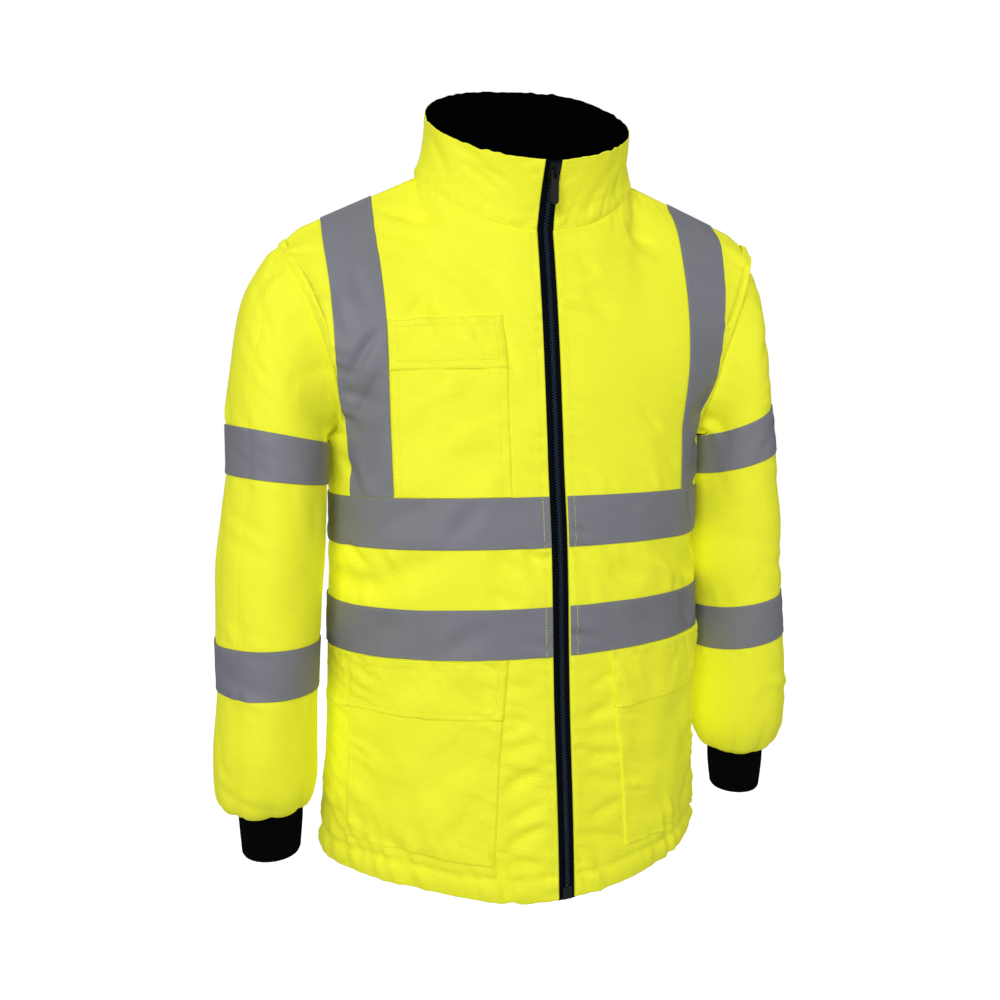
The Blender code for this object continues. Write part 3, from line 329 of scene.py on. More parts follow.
@dataclass(frozen=True)
class BodyForm:
    """Half panels of the body, cut from level sections below and blended to the neck above."""

    zip_edge: float = 8.5
    relax_rounds: int = 3

    def size(self, name: str, z: Any) -> Array:
        """A body size at some heights."""
        return smooth_curve(BODY.z, getattr(BODY, name), z)

    def edge_point(self, side: str, z: float) -> tuple[float, float]:
        """Where a panel ends at one height: the side seam or the armhole edge.

        Args:
            side: front or back.
            z: height.

        Returns:
            Distance from the centre line, and depth.
        """
        if z <= UNDERARM_Z:
            return float(self.size("half_width", z)), 0.0
        hole = ARMHOLE[side]
        x, y = smooth_curve(hole.z, np.stack([hole.x, hole.y], axis=1), z)
        return float(x), abs(float(y))

    def section(self, side: str, z: float) -> Array:
        """Half a section, from the centre line to the panel's edge.

        Args:
            side: front or back.
            z: height.

        Returns:
            Points of the even form.
        """
        sign = -1.0 if side == "front" else 1.0
        depth, power = float(self.size(side, z)), float(self.size("squareness", z))
        edge_x, edge_y = self.edge_point(side, z)
        half_width = edge_x / (1 - (edge_y / depth) ** power) ** (1 / power)
        angle = np.linspace(0.0, math.acos((edge_y / depth) ** (power / 2)), SAMPLES)
        return np.stack([half_width * np.sin(angle) ** (2 / power),
                         sign * depth * np.cos(angle) ** (2 / power), np.full(SAMPLES, z)], axis=1)

    def column_shares(self, side: str, z: float) -> Array:
        """Share of the section's length at each lengthwise line.

        Args:
            side: front or back.
            z: height.

        Returns:
            Shares from 0 to 1.
        """
        total = run_along(self.section(side, z))[-1]
        blend = ease(z, HEM_Z, UPPER_BAND_Z)
        knots = (COLUMNS.hem + (COLUMNS.chest - COLUMNS.hem) * blend)[:-1] / total
        first = 0.0 if side == "back" else knots[0]
        return spread([first, *knots[1:], 1.0], COLUMNS.cells)

    def neckline(self, side: str) -> Array:
        """Neck edge from the centre line to the shoulder seam.

        Args:
            side: front or back.

        Returns:
            Points of the even form.
        """
        start_z, sign = NECK_START[side], -1.0 if side == "front" else 1.0
        depth = float(self.size(side, start_z))
        angle = np.linspace(0.0, math.pi / 2, SAMPLES)
        return np.stack([NECK_SIDE[0] * np.sin(angle),
                         NECK_SIDE[1] + (sign * depth - NECK_SIDE[1]) * np.cos(angle),
                         NECK_SIDE[2] + (start_z - NECK_SIDE[2]) * np.cos(angle) ** 1.5], axis=1)

    def top_edge(self, side: str) -> Array:
        """The neck edge, then the shoulder seam, at the lengthwise lines.

        Args:
            side: front or back.

        Returns:
            One point for each lengthwise line.
        """
        neck = self.neckline(side)
        start = 0.0 if side == "back" else self.zip_edge / run_along(neck)[-1]
        neck_points = along(neck, np.linspace(start, 1.0, int(COLUMNS.cells[1:3].sum()) + 1))
        shares = spread(COLUMNS.shoulder[2:], COLUMNS.cells[2:])
        start_point = np.array(NECK_SIDE)
        shoulder = start_point + (np.array(SHOULDER_TIP) - start_point) * shares[:, None]
        return np.concatenate([neck_points, shoulder[1:]])

    def yoke_patch(self, side: str, base: Array) -> Array:
        """The part above the yoke line, blended between its four edges.

        Args:
            side: front or back.
            base: points of the yoke line.

        Returns:
            Grid from the yoke line to the top edge.
        """
        top, hole = self.top_edge(side), ARMHOLE[side]
        z = np.linspace(YOKE_Z, top[0, 2], SAMPLES)
        sign = -1.0 if side == "front" else 1.0
        across = np.linspace(base[0, 0], top[0, 0], SAMPLES)
        centre = np.stack([across, sign * self.size(side, z), z], axis=1)
        centre[:, 1] += np.linspace(base[0, 1] - centre[0, 1], top[0, 1] - centre[-1, 1], SAMPLES)
        z = np.linspace(YOKE_Z, SHOULDER_TIP[2], SAMPLES)
        arm = np.stack([smooth_curve(hole.z, hole.x, z), smooth_curve(hole.z, hole.y, z), z], axis=1)
        v = np.linspace(0.0, 1.0, int(LEVELS.cells[-1]) + 1)[None, :, None]
        u = 0.5 * sum(run_along(edge) / run_along(edge)[-1] for edge in (base, top))[:, None, None]
        left, right = along(centre, v[0, :, 0])[None], along(arm, v[0, :, 0])[None]
        across = (1 - v) * base[:, None] + v * top[:, None]
        corners = (1 - u) * ((1 - v) * base[0] + v * top[0]) + u * ((1 - v) * base[-1] + v * top[-1])
        return across + (1 - u) * left + u * right - corners

    def half_panel(self, side: str) -> Array:
        """Grid of one half panel: lengthwise line, crosswise line, place.

        Args:
            side: front or back.

        Returns:
            The grid, from the centre line to the panel's edge and from the hem up.
        """
        heights = spread(LEVELS.z[:-1], LEVELS.cells)
        rows = [along(self.section(side, z), self.column_shares(side, z)) for z in heights]
        lower = np.stack(rows, axis=1)
        grid = np.concatenate([lower, self.yoke_patch(side, lower[:, -1])[:, 1:]], axis=1)
        yoke = level("yoke")
        for _ in range(self.relax_rounds):
            before = grid.copy()
            for j in range(yoke - 1, yoke + 3):
                grid[1:-1, j] = 0.5 * before[1:-1, j] + 0.25 * (before[1:-1, j - 1] + before[1:-1, j + 1])
        return grid


def grid_normals(grid: Array, closed: bool = False) -> Array:
    """Outward unit normals of a grid whose first index runs round the body.

    Args:
        grid: places, by lengthwise and crosswise line.
        closed: whether the first axis runs round and closes.

    Returns:
        One direction for each place.
    """
    if closed:
        du = np.roll(grid, -1, axis=0) - np.roll(grid, 1, axis=0)
    else:
        du = np.gradient(grid, axis=0)
    normals = np.cross(du, np.gradient(grid, axis=1))
    return normals / np.maximum(np.linalg.norm(normals, axis=2, keepdims=True), TINY)


class Spot(NamedTuple):
    """Places on a form: grid numbers, distance across from the centre line, length up, height."""

    u: Array
    v: Array
    s: Array
    t: Array
    z: Array


Shape = Callable[[Array, Array, Spot], Array]
Line = float | Callable[[Array], Array]
Span = tuple[float, float]


def number_on(line: Line, along_it: Array) -> Any:
    """Line number of a straight or a winding sewn line, at places along it."""
    return line(along_it) if callable(line) else line


class Form:
    """A smooth surface through a grid of places, read at any grid number."""

    def __init__(self, grid: Array, normals: Array, centre: int = 0, closed: bool = False) -> None:
        """Prepares the surface.

        Args:
            grid: places, by lengthwise and crosswise line.
            normals: outward directions at those places.
            centre: lengthwise line from which distances across are counted.
            closed: whether the first axis runs round and closes.
        """
        self.grid, self.normals, self.closed = grid, normals, closed
        self.top_move: tuple[Array, Array] | None = None
        self.bend: Callable[[Array], Array] | None = None
        self.loop, outward = ((np.concatenate([values, values[:1]]) if closed else values)
                              for values in (grid, normals))
        across = run_along(self.loop)
        across = across - across[centre]
        self.round = across[-1] - across[0]
        upward = run_along(np.swapaxes(self.loop, 0, 1)).T
        rows = np.concatenate([self.loop, outward, across[..., None], upward[..., None]], axis=2)
        self.shape = rows.shape[:2]
        if closed:
            before, after = rows[-2:-1].copy(), rows[1:2].copy()
            before[..., 6] -= self.round[None]
            after[..., 6] += self.round[None]
        else:
            before, after = 2 * rows[:1] - rows[1:2], 2 * rows[-1:] - rows[-2:-1]
        rows = np.concatenate([before, rows, after])
        below, above = 2 * rows[:, :1] - rows[:, 1:2], 2 * rows[:, -1:] - rows[:, -2:-1]
        self.rows = np.concatenate([below, rows, above], axis=1)

    @staticmethod
    def taps(at: Array, count: int) -> tuple[Array, Array]:
        """The four lines next to each place and their Catmull-Rom weights.

        Args:
            at: line numbers.
            count: number of lines.

        Returns:
            Numbers of the lines, and their weights.
        """
        cell = np.clip(np.floor(at).astype(int), 0, count - 2)
        t = (at - cell)[..., None]
        weights = np.concatenate([-t + 2 * t ** 2 - t ** 3, 2 - 5 * t ** 2 + 3 * t ** 3,
                                  t + 4 * t ** 2 - 3 * t ** 3, -t ** 2 + t ** 3], axis=-1) / 2
        return cell[..., None] + np.arange(4), weights

    def at(self, u: Any, v: Any) -> tuple[Array, Array, Spot]:
        """Reads the surface.

        Args:
            u: lengthwise line numbers, whole or between lines.
            v: crosswise line numbers.

        Returns:
            Places, outward directions, and the places' numbers and distances.
        """
        u, v = np.broadcast_arrays(np.asarray(u, float), np.asarray(v, float))
        turns = np.floor(u / (self.shape[0] - 1)) if self.closed else np.zeros(u.shape)
        lines, line_weights = self.taps(u - turns * (self.shape[0] - 1), self.shape[0])
        levels, level_weights = self.taps(v, self.shape[1])
        values = np.zeros((*u.shape, self.rows.shape[2]))
        for a in range(4):
            for b in range(4):
                share = line_weights[..., a] * level_weights[..., b]
                values += share[..., None] * self.rows[lines[..., a], levels[..., b]]
        normals = values[..., 3:6]
        normals = normals / np.linalg.norm(normals, axis=-1, keepdims=True)
        across = values[..., 6] + turns * self.round_at(v)
        if self.top_move:
            keys, moves = self.top_move
            fade = ease(v, self.shape[1] - 2.5, self.shape[1] - 1)[..., None]
            values[..., :3] += read_along(keys, moves, u) * fade
        if self.bend:
            values[..., :3] = self.bend(values[..., :3])
        return values[..., :3], normals, Spot(u, v, across, values[..., 7], values[..., 2])

    def end_at(self, line: Callable[[Array], Array]) -> None:
        """Moves the last crosswise line onto a line that two sheets share.

        Args:
            line: the shared line's places at lengthwise line numbers.
        """
        keys = np.linspace(0.0, self.shape[0] - 1, 16 * (self.shape[0] - 1) + 1)
        self.top_move = (keys, line(keys) - self.at(keys, self.shape[1] - 1)[0])

    def round_at(self, v: Any) -> Array:
        """Length all the way across at some levels."""
        return np.interp(v, np.arange(self.shape[1]), self.round)

    def wrapped(self, across: Array, v: Any) -> Array:
        """Distances across, taken the short way round where the form closes."""
        length = self.round_at(v)
        return (across + length / 2) % length - length / 2 if self.closed else across

    def away_from(self, axis: int, at: Line, spot: Spot) -> tuple[Array, Spot]:
        """How far places lie from a grid line.

        Args:
            axis: 0 for a lengthwise line, 1 for a crosswise one.
            at: the line.
            spot: the places.

        Returns:
            Distances from the line, and the spots on it.
        """
        is_grid = spot.u.ndim == 2
        if axis == 0:
            along_it = spot.v[:1] if is_grid else spot.v
            line = self.at(number_on(at, along_it), along_it)[2]
            return self.wrapped(spot.s - line.s, spot.v), line
        line = self.at(spot.u[:, :1] if is_grid else spot.u, at)[2]
        return spot.t - line.t, line

    def flat_size(self, spare: Span, u_span: Span | None = None, v_span: Span | None = None) -> Span:
        """Flat size of a piece cut to a part of the form.

        Args:
            spare: millimetres to spare across and along.
            u_span: first and last lengthwise line; all of them if left out.
            v_span: first and last crosswise line; all of them if left out.

        Returns:
            The longest runs across and along.
        """
        (u0, u1), (v0, v1) = u_span or (0, self.shape[0] - 1), v_span or (0, self.shape[1] - 1)
        part = self.loop[u0:u1 + 1, v0:v1 + 1]
        across, along_it = (run_along(side)[-1].max() for side in (part, np.swapaxes(part, 0, 1)))
        return float(across) + spare[0], float(along_it) + spare[1]

    def step(self, u: Any, v: Any, mm: Any, axis: int) -> Array:
        """Line number that lies some millimetres away from a place.

        Args:
            u: lengthwise line number.
            v: crosswise line number.
            mm: distance, positive towards higher numbers.
            axis: 0 to go across, 1 to go along.

        Returns:
            The number on that axis.
        """
        probe = 0.05
        place = [np.asarray(u, float), np.asarray(v, float)]
        low, high = list(place), list(place)
        low[axis], high[axis] = place[axis] - probe, place[axis] + probe
        size = np.linalg.norm(self.at(*high)[0] - self.at(*low)[0], axis=-1) / (2 * probe)
        return place[axis] + mm / np.maximum(size, 1e-6)

    def even(self, axis: int, start: float, stop: float, across: float, cell: float,
             edges: tuple[Sequence[float], Sequence[float]] = ((), ())) -> Array:
        """Line numbers at even distances, with closer ones next to the edges.

        Args:
            axis: 0 to run across, 1 to run along.
            start: first number.
            stop: last number.
            across: number on the other axis where the distances hold.
            cell: distance between lines.
            edges: distances from the start and from the stop of the closer lines.

        Returns:
            Rising numbers from start to stop.
        """
        dense = np.linspace(start, stop, 40 * int(abs(stop - start) + 1))
        place = (dense, np.full_like(dense, across))
        run = run_along(self.at(*(place if axis == 0 else place[::-1]))[0])
        head = max(edges[0], default=0.0)
        tail = max(edges[1], default=0.0)
        middle = np.linspace(head, run[-1] - tail, max(2, round((run[-1] - head - tail) / cell) + 1))
        far_edges = run[-1] - np.array(edges[1])
        wanted = np.unique(np.concatenate([[0.0], edges[0], middle, far_edges, [run[-1]]]))
        return np.interp(wanted, run, dense)


@dataclass
class JacketForms:
    """All worn surfaces that cloth is laid on."""

    pose: WornPose = field(default_factory=WornPose)
    body: BodyForm = field(default_factory=BodyForm)
    rim_half_width: float = 111.5
    rim_half_depth: float = 75.0
    rim_centre_y: float = -21.0
    rim_front_z: float = 5.0
    rim_back_z: float = 117.0
    rim_lift: float = 6.0
    collar_cells: int = 4
    collar_flare: float = 2.5
    sleeve_around: int = 30
    sleeve_start: float = 9.0
    lip_step: float = 4.5
    lip_crown: float = 4.0
    tip_reach: float = 30.0
    tip_droop: Span = (2.5, 5.0)

    def __post_init__(self) -> None:
        """Builds every form once."""
        flip = np.array([-1.0, 1.0, 1.0])
        front, rear = self.body.half_panel("front"), self.body.half_panel("back")
        self.front_edge, self.back_edge = front[-1], rear[-1]
        left, right = self.pose.place(front), self.pose.place(front[::-1] * flip)
        back = self.pose.place(np.concatenate([rear[::-1], rear[1:] * flip]))
        normals = [grid_normals(grid) for grid in (left, right, back)]
        self.share_seams(*normals)
        side = column("side")
        self.left = Form(left, normals[0], 0)
        self.right = Form(right, normals[1], side)
        self.back = Form(back, normals[2], side)
        self.collar = self.collar_form()
        for form, first, turn in ((self.left, 0, 1), (self.right, side, -1), (self.back, side, 0)):
            form.end_at(partial(self.shared_top, form, first, column("neck"), turn))
            form.bend = self.soft_tips
        self.sleeves = {arm: self.sleeve_form(arm) for arm in Side}
        self.zip = self.zip_form()

    @staticmethod
    def share_seams(left: Array, right: Array, back: Array) -> None:
        """Gives meeting panel edges one set of normals.

        Args:
            left: normals of the left front, by lengthwise and crosswise line.
            right: those of the right front.
            back: those of the back.
        """
        side, neck, under = column("side"), column("neck"), level("underarm") + 1
        pairs = ((left[side, :under], back[0, :under]), (right[0, :under], back[-1, :under]),
                 (left[neck:, -1][::-1], back[:side - neck + 1, -1]),
                 (right[:side - neck + 1, -1], back[side + neck:, -1][::-1]))
        for first, second in pairs:
            mean = first + second
            mean = mean / np.linalg.norm(mean, axis=-1, keepdims=True)
            first[:] = mean
            second[:] = mean

    def soft_tips(self, places: Array) -> Array:
        """Lets the corners at the shoulder tips droop over the sleeves.

        Args:
            places: places on a panel.

        Returns:
            The moved places.
        """
        for sign in (-1.0, 1.0):
            tip = self.pose.place(np.array(SHOULDER_TIP) * (sign, 1.0, 1.0))
            share = np.linalg.norm(places - tip, axis=-1) / self.tip_reach
            near = np.clip(1 - share ** 2, 0.0, None) ** 2
            droop = np.array([-sign * self.tip_droop[0], 0.0, -self.tip_droop[1]])
            places = places + near[..., None] * droop
        return places

    def shared_top(self, form: Form, middle: int, neck: int, front: int, u: Array) -> Array:
        """Line that a panel's top shares: the collar's foot, then the straight shoulder seam.

        Args:
            form: the panel.
            middle: its lengthwise line at the centre front or the centre back.
            neck: number of lines from there to the neck's side.
            front: 1 on the wearer's left front, -1 on the right front, 0 on the back.
            u: lengthwise line numbers.

        Returns:
            The line's places.
        """
        last = self.collar.shape[0] - 1
        foot = {1: last - u, -1: middle - u, 0: last / 2 + middle - u}[front]
        straight = read_along(np.arange(form.shape[0]), form.grid[:, -1], u)
        on_collar = self.collar.at(np.clip(foot, 0, last), 0.0)[0]
        return np.where((np.abs(u - middle) <= neck)[:, None], on_collar, straight)

    def collar_form(self) -> Form:
        """Stand collar from the neck seam to the rim, wearer's right front edge first.

        Returns:
            The collar's form.
        """
        neck, side = column("neck"), column("side")
        base = np.concatenate([self.right.grid[side - neck:, -1][::-1],
                               self.back.grid[side - neck:side + neck + 1, -1][::-1][1:-1],
                               self.left.grid[:neck + 1, -1][::-1]])
        share = run_along(base) / run_along(base)[-1]
        first = math.asin(self.body.zip_edge / self.rim_half_width)
        angle = first + share * (2 * math.pi - 2 * first)
        middle, half = (self.rim_front_z + self.rim_back_z) / 2, (self.rim_back_z - self.rim_front_z) / 2
        rim = self.pose.place(np.stack([-self.rim_half_width * np.sin(angle),
                                        self.rim_centre_y - self.rim_half_depth * np.cos(angle),
                                        middle - half * np.cos(angle)], axis=1))
        rim[:, 2] += self.rim_lift * ease(rim[:, 0], 0.0, 0.8 * self.rim_half_width)
        height = np.linspace(0.0, 1.0, self.collar_cells + 1)
        grid = base[:, None] + (rim - base)[:, None] * height[None, :, None]
        outward = grid - np.array([0.0, self.rim_centre_y, 0.0])
        outward[..., 2] = 0.0
        outward /= np.linalg.norm(outward, axis=2, keepdims=True)
        grid -= outward * (self.collar_flare * np.sin(math.pi * height))[None, :, None]
        return Form(grid, -grid_normals(grid), len(grid) // 2)

    def armhole_ring(self) -> Array:
        """The armhole edge as a closed ring: top, front, underarm, back.

        Returns:
            Points of the even form, on the left.
        """
        under = level("underarm")
        shares = np.linspace(0.0, 1.0, self.sleeve_around // 2 + 1)
        return np.concatenate([along(self.front_edge[under:][::-1], shares),
                               along(self.back_edge[under:], shares)[1:-1]])

    def sleeve_ring(self, number: int, arm: Side) -> Array:
        """One sleeve section as a closed ring: outermost, front, innermost, back.

        Args:
            number: row in the table of sleeve sections.
            arm: the arm that it is on.

        Returns:
            Points of the even form, on the left.
        """
        angle = np.arange(self.sleeve_around) * 2 * math.pi / self.sleeve_around
        size = {name: value for name, value in zip(SLEEVE.names, SLEEVE.rows[number])}
        outer_x = size["outer_x"] - (size["left_in"] if arm is Side.LEFT else 0.0)
        outer = np.array([outer_x, size["centre_y"], size["outer_z"]])
        inner = np.array([size["inner_x"], size["centre_y"], size["inner_z"]])
        ring = (outer + inner) / 2 + (outer - inner)[None, :] / 2 * np.cos(angle)[:, None]
        ring[:, 1] -= size["half_depth"] * np.sin(angle)
        ring[:, 2] -= size["back_rise"] / 2 * np.sin(angle)
        down, hang = number / (len(SLEEVE.rows) - 1), arm.hang
        end = ease(down, 0.8, 1.0)
        rise = hang.outer_rise * math.sin(math.pi * down) * (1 + np.cos(angle)) / 2
        ring[:, 2] += rise - hang.end_drop * end
        ring[:, 0] += hang.out * ease(down, 0.25, 0.7) + (hang.end_out - hang.out) * end
        return ring

    def sleeve_form(self, arm: Side) -> Form:
        """Sleeve of one arm, from under the armhole edge to the cuff seam.

        Args:
            arm: the arm that it is on.

        Returns:
            The sleeve's form.
        """
        edge = self.armhole_ring()
        inward = edge.mean(axis=0) - edge
        inward[:, 0] = 0.0
        inward /= np.linalg.norm(inward, axis=1, keepdims=True)
        angle = np.arange(self.sleeve_around) * 2 * math.pi / self.sleeve_around
        step_down = self.lip_step + self.lip_crown * np.clip(np.cos(angle), 0.0, None) ** 2
        at_edge = edge + inward * step_down[:, None]
        rings = [at_edge - np.array([self.sleeve_start, 0.0, 0.0]), at_edge]
        for number, cells in enumerate(SLEEVE.cells.astype(int)):
            ring, previous = self.sleeve_ring(number, arm), rings[-1]
            rings.extend(previous + (ring - previous) * (step / cells) for step in range(1, cells + 1))
        grid = np.stack(rings, axis=1)
        for _ in range(2):
            before = grid.copy()
            for j in range(2, 6):
                grid[:, j] = 0.5 * before[:, j] + 0.25 * (before[:, j - 1] + before[:, j + 1])
        if arm is Side.RIGHT:
            grid = np.roll(grid[::-1], 1, axis=0) * (-1.0, 1.0, 1.0)
        grid = self.pose.place(grid, with_hem=False)
        return Form(grid, grid_normals(grid, closed=True), 0, closed=True)

    def zip_form(self) -> Form:
        """The gap between the front edges, from the hem to the collar's rim.

        Returns:
            The gap's form, three lines wide.
        """
        first = np.concatenate([self.right.grid[-1], self.collar.grid[0][1:]])
        second = np.concatenate([self.left.grid[0], self.collar.grid[-1][1:]])
        sideways = second - first
        normal = np.cross(sideways, np.gradient((first + second) / 2, axis=0))
        normal /= np.linalg.norm(normal, axis=1, keepdims=True)
        grid = np.stack([first, (first + second) / 2, second])
        return Form(grid, np.stack([normal] * 3), 1)


# ---------------------------------------------------------------- relief of the cloth

class Crease(NamedTuple):
    """A soft trough from one place to another; a negative depth is a ridge."""

    s0: float
    z0: float
    s1: float
    z1: float
    width: float
    depth: float
    bow: float = 0.0

    def depth_at(self, s: Array, z: Array) -> Array:
        """Depth of the crease, with low ridges beside it and tapered ends.

        Args:
            s: distances across from the centre line.
            z: heights.

        Returns:
            Depths in millimetres.
        """
        length = math.hypot(self.s1 - self.s0, self.z1 - self.z0)
        run_s, run_z = (self.s1 - self.s0) / length, (self.z1 - self.z0) / length
        t = ((s - self.s0) * run_s + (z - self.z0) * run_z) / length
        away = (s - self.s0) * run_z - (z - self.z0) * run_s - self.bow * (1 - (2 * t - 1) ** 2)
        taper = np.clip(1 - np.abs(2 * t - 1) ** 2.5, 0.0, None) * ((t > 0) & (t < 1))
        width = self.width * (0.55 + 0.45 * taper)
        q = (away / width) ** 2
        return self.depth * taper ** 1.2 * np.exp(-q) * (1 - 0.55 * q)


def creases(*rows: tuple[float, ...]) -> tuple[Crease, ...]:
    """Creases from rows of s0, z0, s1, z1, width, depth and, where they bend, bow."""
    return tuple(Crease(*row) for row in rows)


def uneven_wave(run: Array, length: float, seed: int, period: float = 0.0) -> Array:
    """Waves of uneven length and height, narrower in their troughs.

    Args:
        run: distance along the seam.
        length: mean distance from one trough to the next.
        seed: picks the waves.
        period: length after which the waves repeat, on a ring.

    Returns:
        Wave heights, mostly from -1 to 1.
    """
    rng = np.random.default_rng(seed)

    def wave(share: float) -> Array:
        """One even wave, fitted to the period.

        Args:
            share: its length as a share of the mean one.

        Returns:
            Wave heights from -1 to 1.
        """
        long = length * share
        if period:
            long = period / max(1, round(period / long))
        return np.sin(2 * math.pi * run / long + rng.uniform(0, 2 * math.pi))

    total = sum(rng.uniform(0.5, 1.0) * wave(share) for share in (0.62, 0.81, 1.0, 1.37, 2.1)) / 2.0
    return (0.62 + 0.38 * wave(5.3)) * (total + 0.35 * total * np.abs(total))


@dataclass(frozen=True)
class Puckers:
    """Short uneven puckers beside a sewn line, and the line's own groove."""

    axis: int
    at: Line
    span: Sequence[float]
    depth: float
    reach: float
    length: float
    seed: int
    sides: Span = (1.0, 1.0)
    groove: float = 0.0
    shift: float = 0.0
    lean: float = 0.35
    width: float = 1.7

    def depth_at(self, form: Form, spot: Spot) -> Array:
        """Depth of the puckers and the groove at some places.

        Args:
            form: the form under the cloth.
            spot: places on it.

        Returns:
            Depths in millimetres.
        """
        away, line = form.away_from(self.axis, self.at, spot)
        run, other = (line.s, spot.u) if self.axis else (line.t, spot.v)
        period = float(form.round_at(self.at)) if self.axis and form.closed else 0.0
        away = away - self.shift
        inside = np.ones(other.shape)
        if self.span:
            start, stop = (ease(other, end - SPAN_FADE, end + SPAN_FADE) for end in self.span)
            inside = start * (1 - stop)
        q = 3 * np.abs(away) / self.reach
        rise = q * np.exp(1 - q) * np.where(away < 0, *self.sides)
        wave = uneven_wave(run + self.lean * away, self.length, self.seed, period)
        return inside * (self.depth * rise * wave + self.groove * np.exp(-(away / self.width) ** 2))


@dataclass(frozen=True)
class Pin:
    """A line where the cloth is held flat."""

    axis: int
    at: float
    reach: float

    def share_at(self, form: Form, spot: Spot) -> Array:
        """Share of the relief that is left near the line."""
        return ease(np.abs(form.away_from(self.axis, self.at, spot)[0]), 0.0, self.reach)


@dataclass(frozen=True)
class Relief:
    """Everything that takes a cloth off its smooth form, in depth inwards."""

    creases: Sequence[Crease] = ()
    puckers: Sequence[Puckers] = ()
    pins: Sequence[Pin] = ()
    swell: float = 0.6
    swell_length: float = 85.0
    seed: int = 1
    second: str = "z"
    sign: float = 1.0

    def depth_at(self, form: Form, spot: Spot) -> Array:
        """Depth of the cloth below its form.

        Args:
            form: the form that the cloth lies on.
            spot: places on it.

        Returns:
            Depths in millimetres.
        """
        s, up = form.wrapped(spot.s, spot.v) * self.sign, getattr(spot, self.second)
        depth = sum((crease.depth_at(s, up) for crease in self.creases), np.zeros(s.shape))
        rng = np.random.default_rng(self.seed)
        for _ in range(7):
            turn, length = rng.uniform(0, math.pi), self.swell_length * rng.uniform(0.6, 1.5)
            across = math.cos(turn) / length
            if form.closed:
                across = np.round(form.round_at(0) * across) / form.round_at(spot.v)
            phase = 2 * math.pi * (s * across + up * math.sin(turn) / length) + rng.uniform(0, PHASES)
            depth = depth + self.swell * 0.5 * np.sin(phase)
        depth = depth + sum(row.depth_at(form, spot) for row in self.puckers)
        for pin in self.pins:
            depth = depth * pin.share_at(form, spot)
        return depth


@dataclass(frozen=True)
class Layer:
    """One layer of cloth: the form under it, how far out it lies and its relief."""

    form: Form
    lift: float = 0.0
    reliefs: tuple[Relief, ...] = ()
    own: Relief | None = None
    floor: float = 0.5

    def at(self, u: Any, v: Any, rise: float = 0.0) -> tuple[Array, Array, Spot]:
        """Places on the layer's outer face.

        Args:
            u: lengthwise line numbers.
            v: crosswise line numbers.
            rise: distance above the face.

        Returns:
            Places in millimetres, outward directions and spots.
        """
        places, normals, spot = self.form.at(u, v)
        depth = sum((relief.depth_at(self.form, spot) for relief in self.reliefs), np.zeros(spot.u.shape))
        if self.own:
            depth = depth + np.minimum(self.own.depth_at(self.form, spot), max(self.lift - self.floor, 0.0))
        return places + normals * (self.lift + rise - depth)[..., None], normals, spot


# ---------------------------------------------------------------- meshes

def put_in_scene(name: str, mesh: Mesh, materials: Sequence[Material]) -> Object:
    """Links a mesh as a smooth named piece with its materials.

    Args:
        name: the piece's name.
        mesh: its mesh.
        materials: its materials, in order.

    Returns:
        The piece.
    """
    mesh.shade_smooth()
    piece = bpy.data.objects.new(name, mesh)
    for material in materials:
        mesh.materials.append(material)
    bpy.context.scene.collection.objects.link(piece)
    return piece


def from_bmesh(name: str, bm: BMesh, materials: Sequence[Material]) -> Object:
    """Turns a bmesh into a piece.

    Args:
        name: the piece's name.
        bm: its shape, which is freed.
        materials: its materials, in order.

    Returns:
        The piece.
    """
    mesh = bpy.data.meshes.new(name)
    bm.to_mesh(mesh)
    bm.free()
    return put_in_scene(name, mesh, materials)


def rolled(places: Array, normals: Array, radii: Sequence[float]) -> Array:
    """Rolls a sheet's edges inwards, as on a turned or bound edge.

    Args:
        places: grid of places in millimetres.
        normals: outward directions.
        radii: radius at the first and last line across, then along; 0 leaves an edge alone.

    Returns:
        The places with rolled edges.
    """
    drop = np.zeros(places.shape[:2])
    for axis, pair in enumerate((radii[:2], radii[2:])):
        run = run_along(places) if axis == 0 else run_along(np.swapaxes(places, 0, 1)).T
        total = run[-1:] if axis == 0 else run[:, -1:]
        for radius, away in zip(pair, (run, total - run)):
            if radius:
                short = np.clip(radius - away, 0.0, radius)
                drop = np.maximum(drop, radius - np.sqrt(radius ** 2 - short ** 2))
    return places - normals * drop[..., None]


def edge_rows(radius: float) -> tuple[float, ...]:
    """Distances of the closer lines next to a rolled edge."""
    return tuple(radius * share for share in (0.12, 0.4, 1.0)) + ((radius + 1.6,) if radius else ())


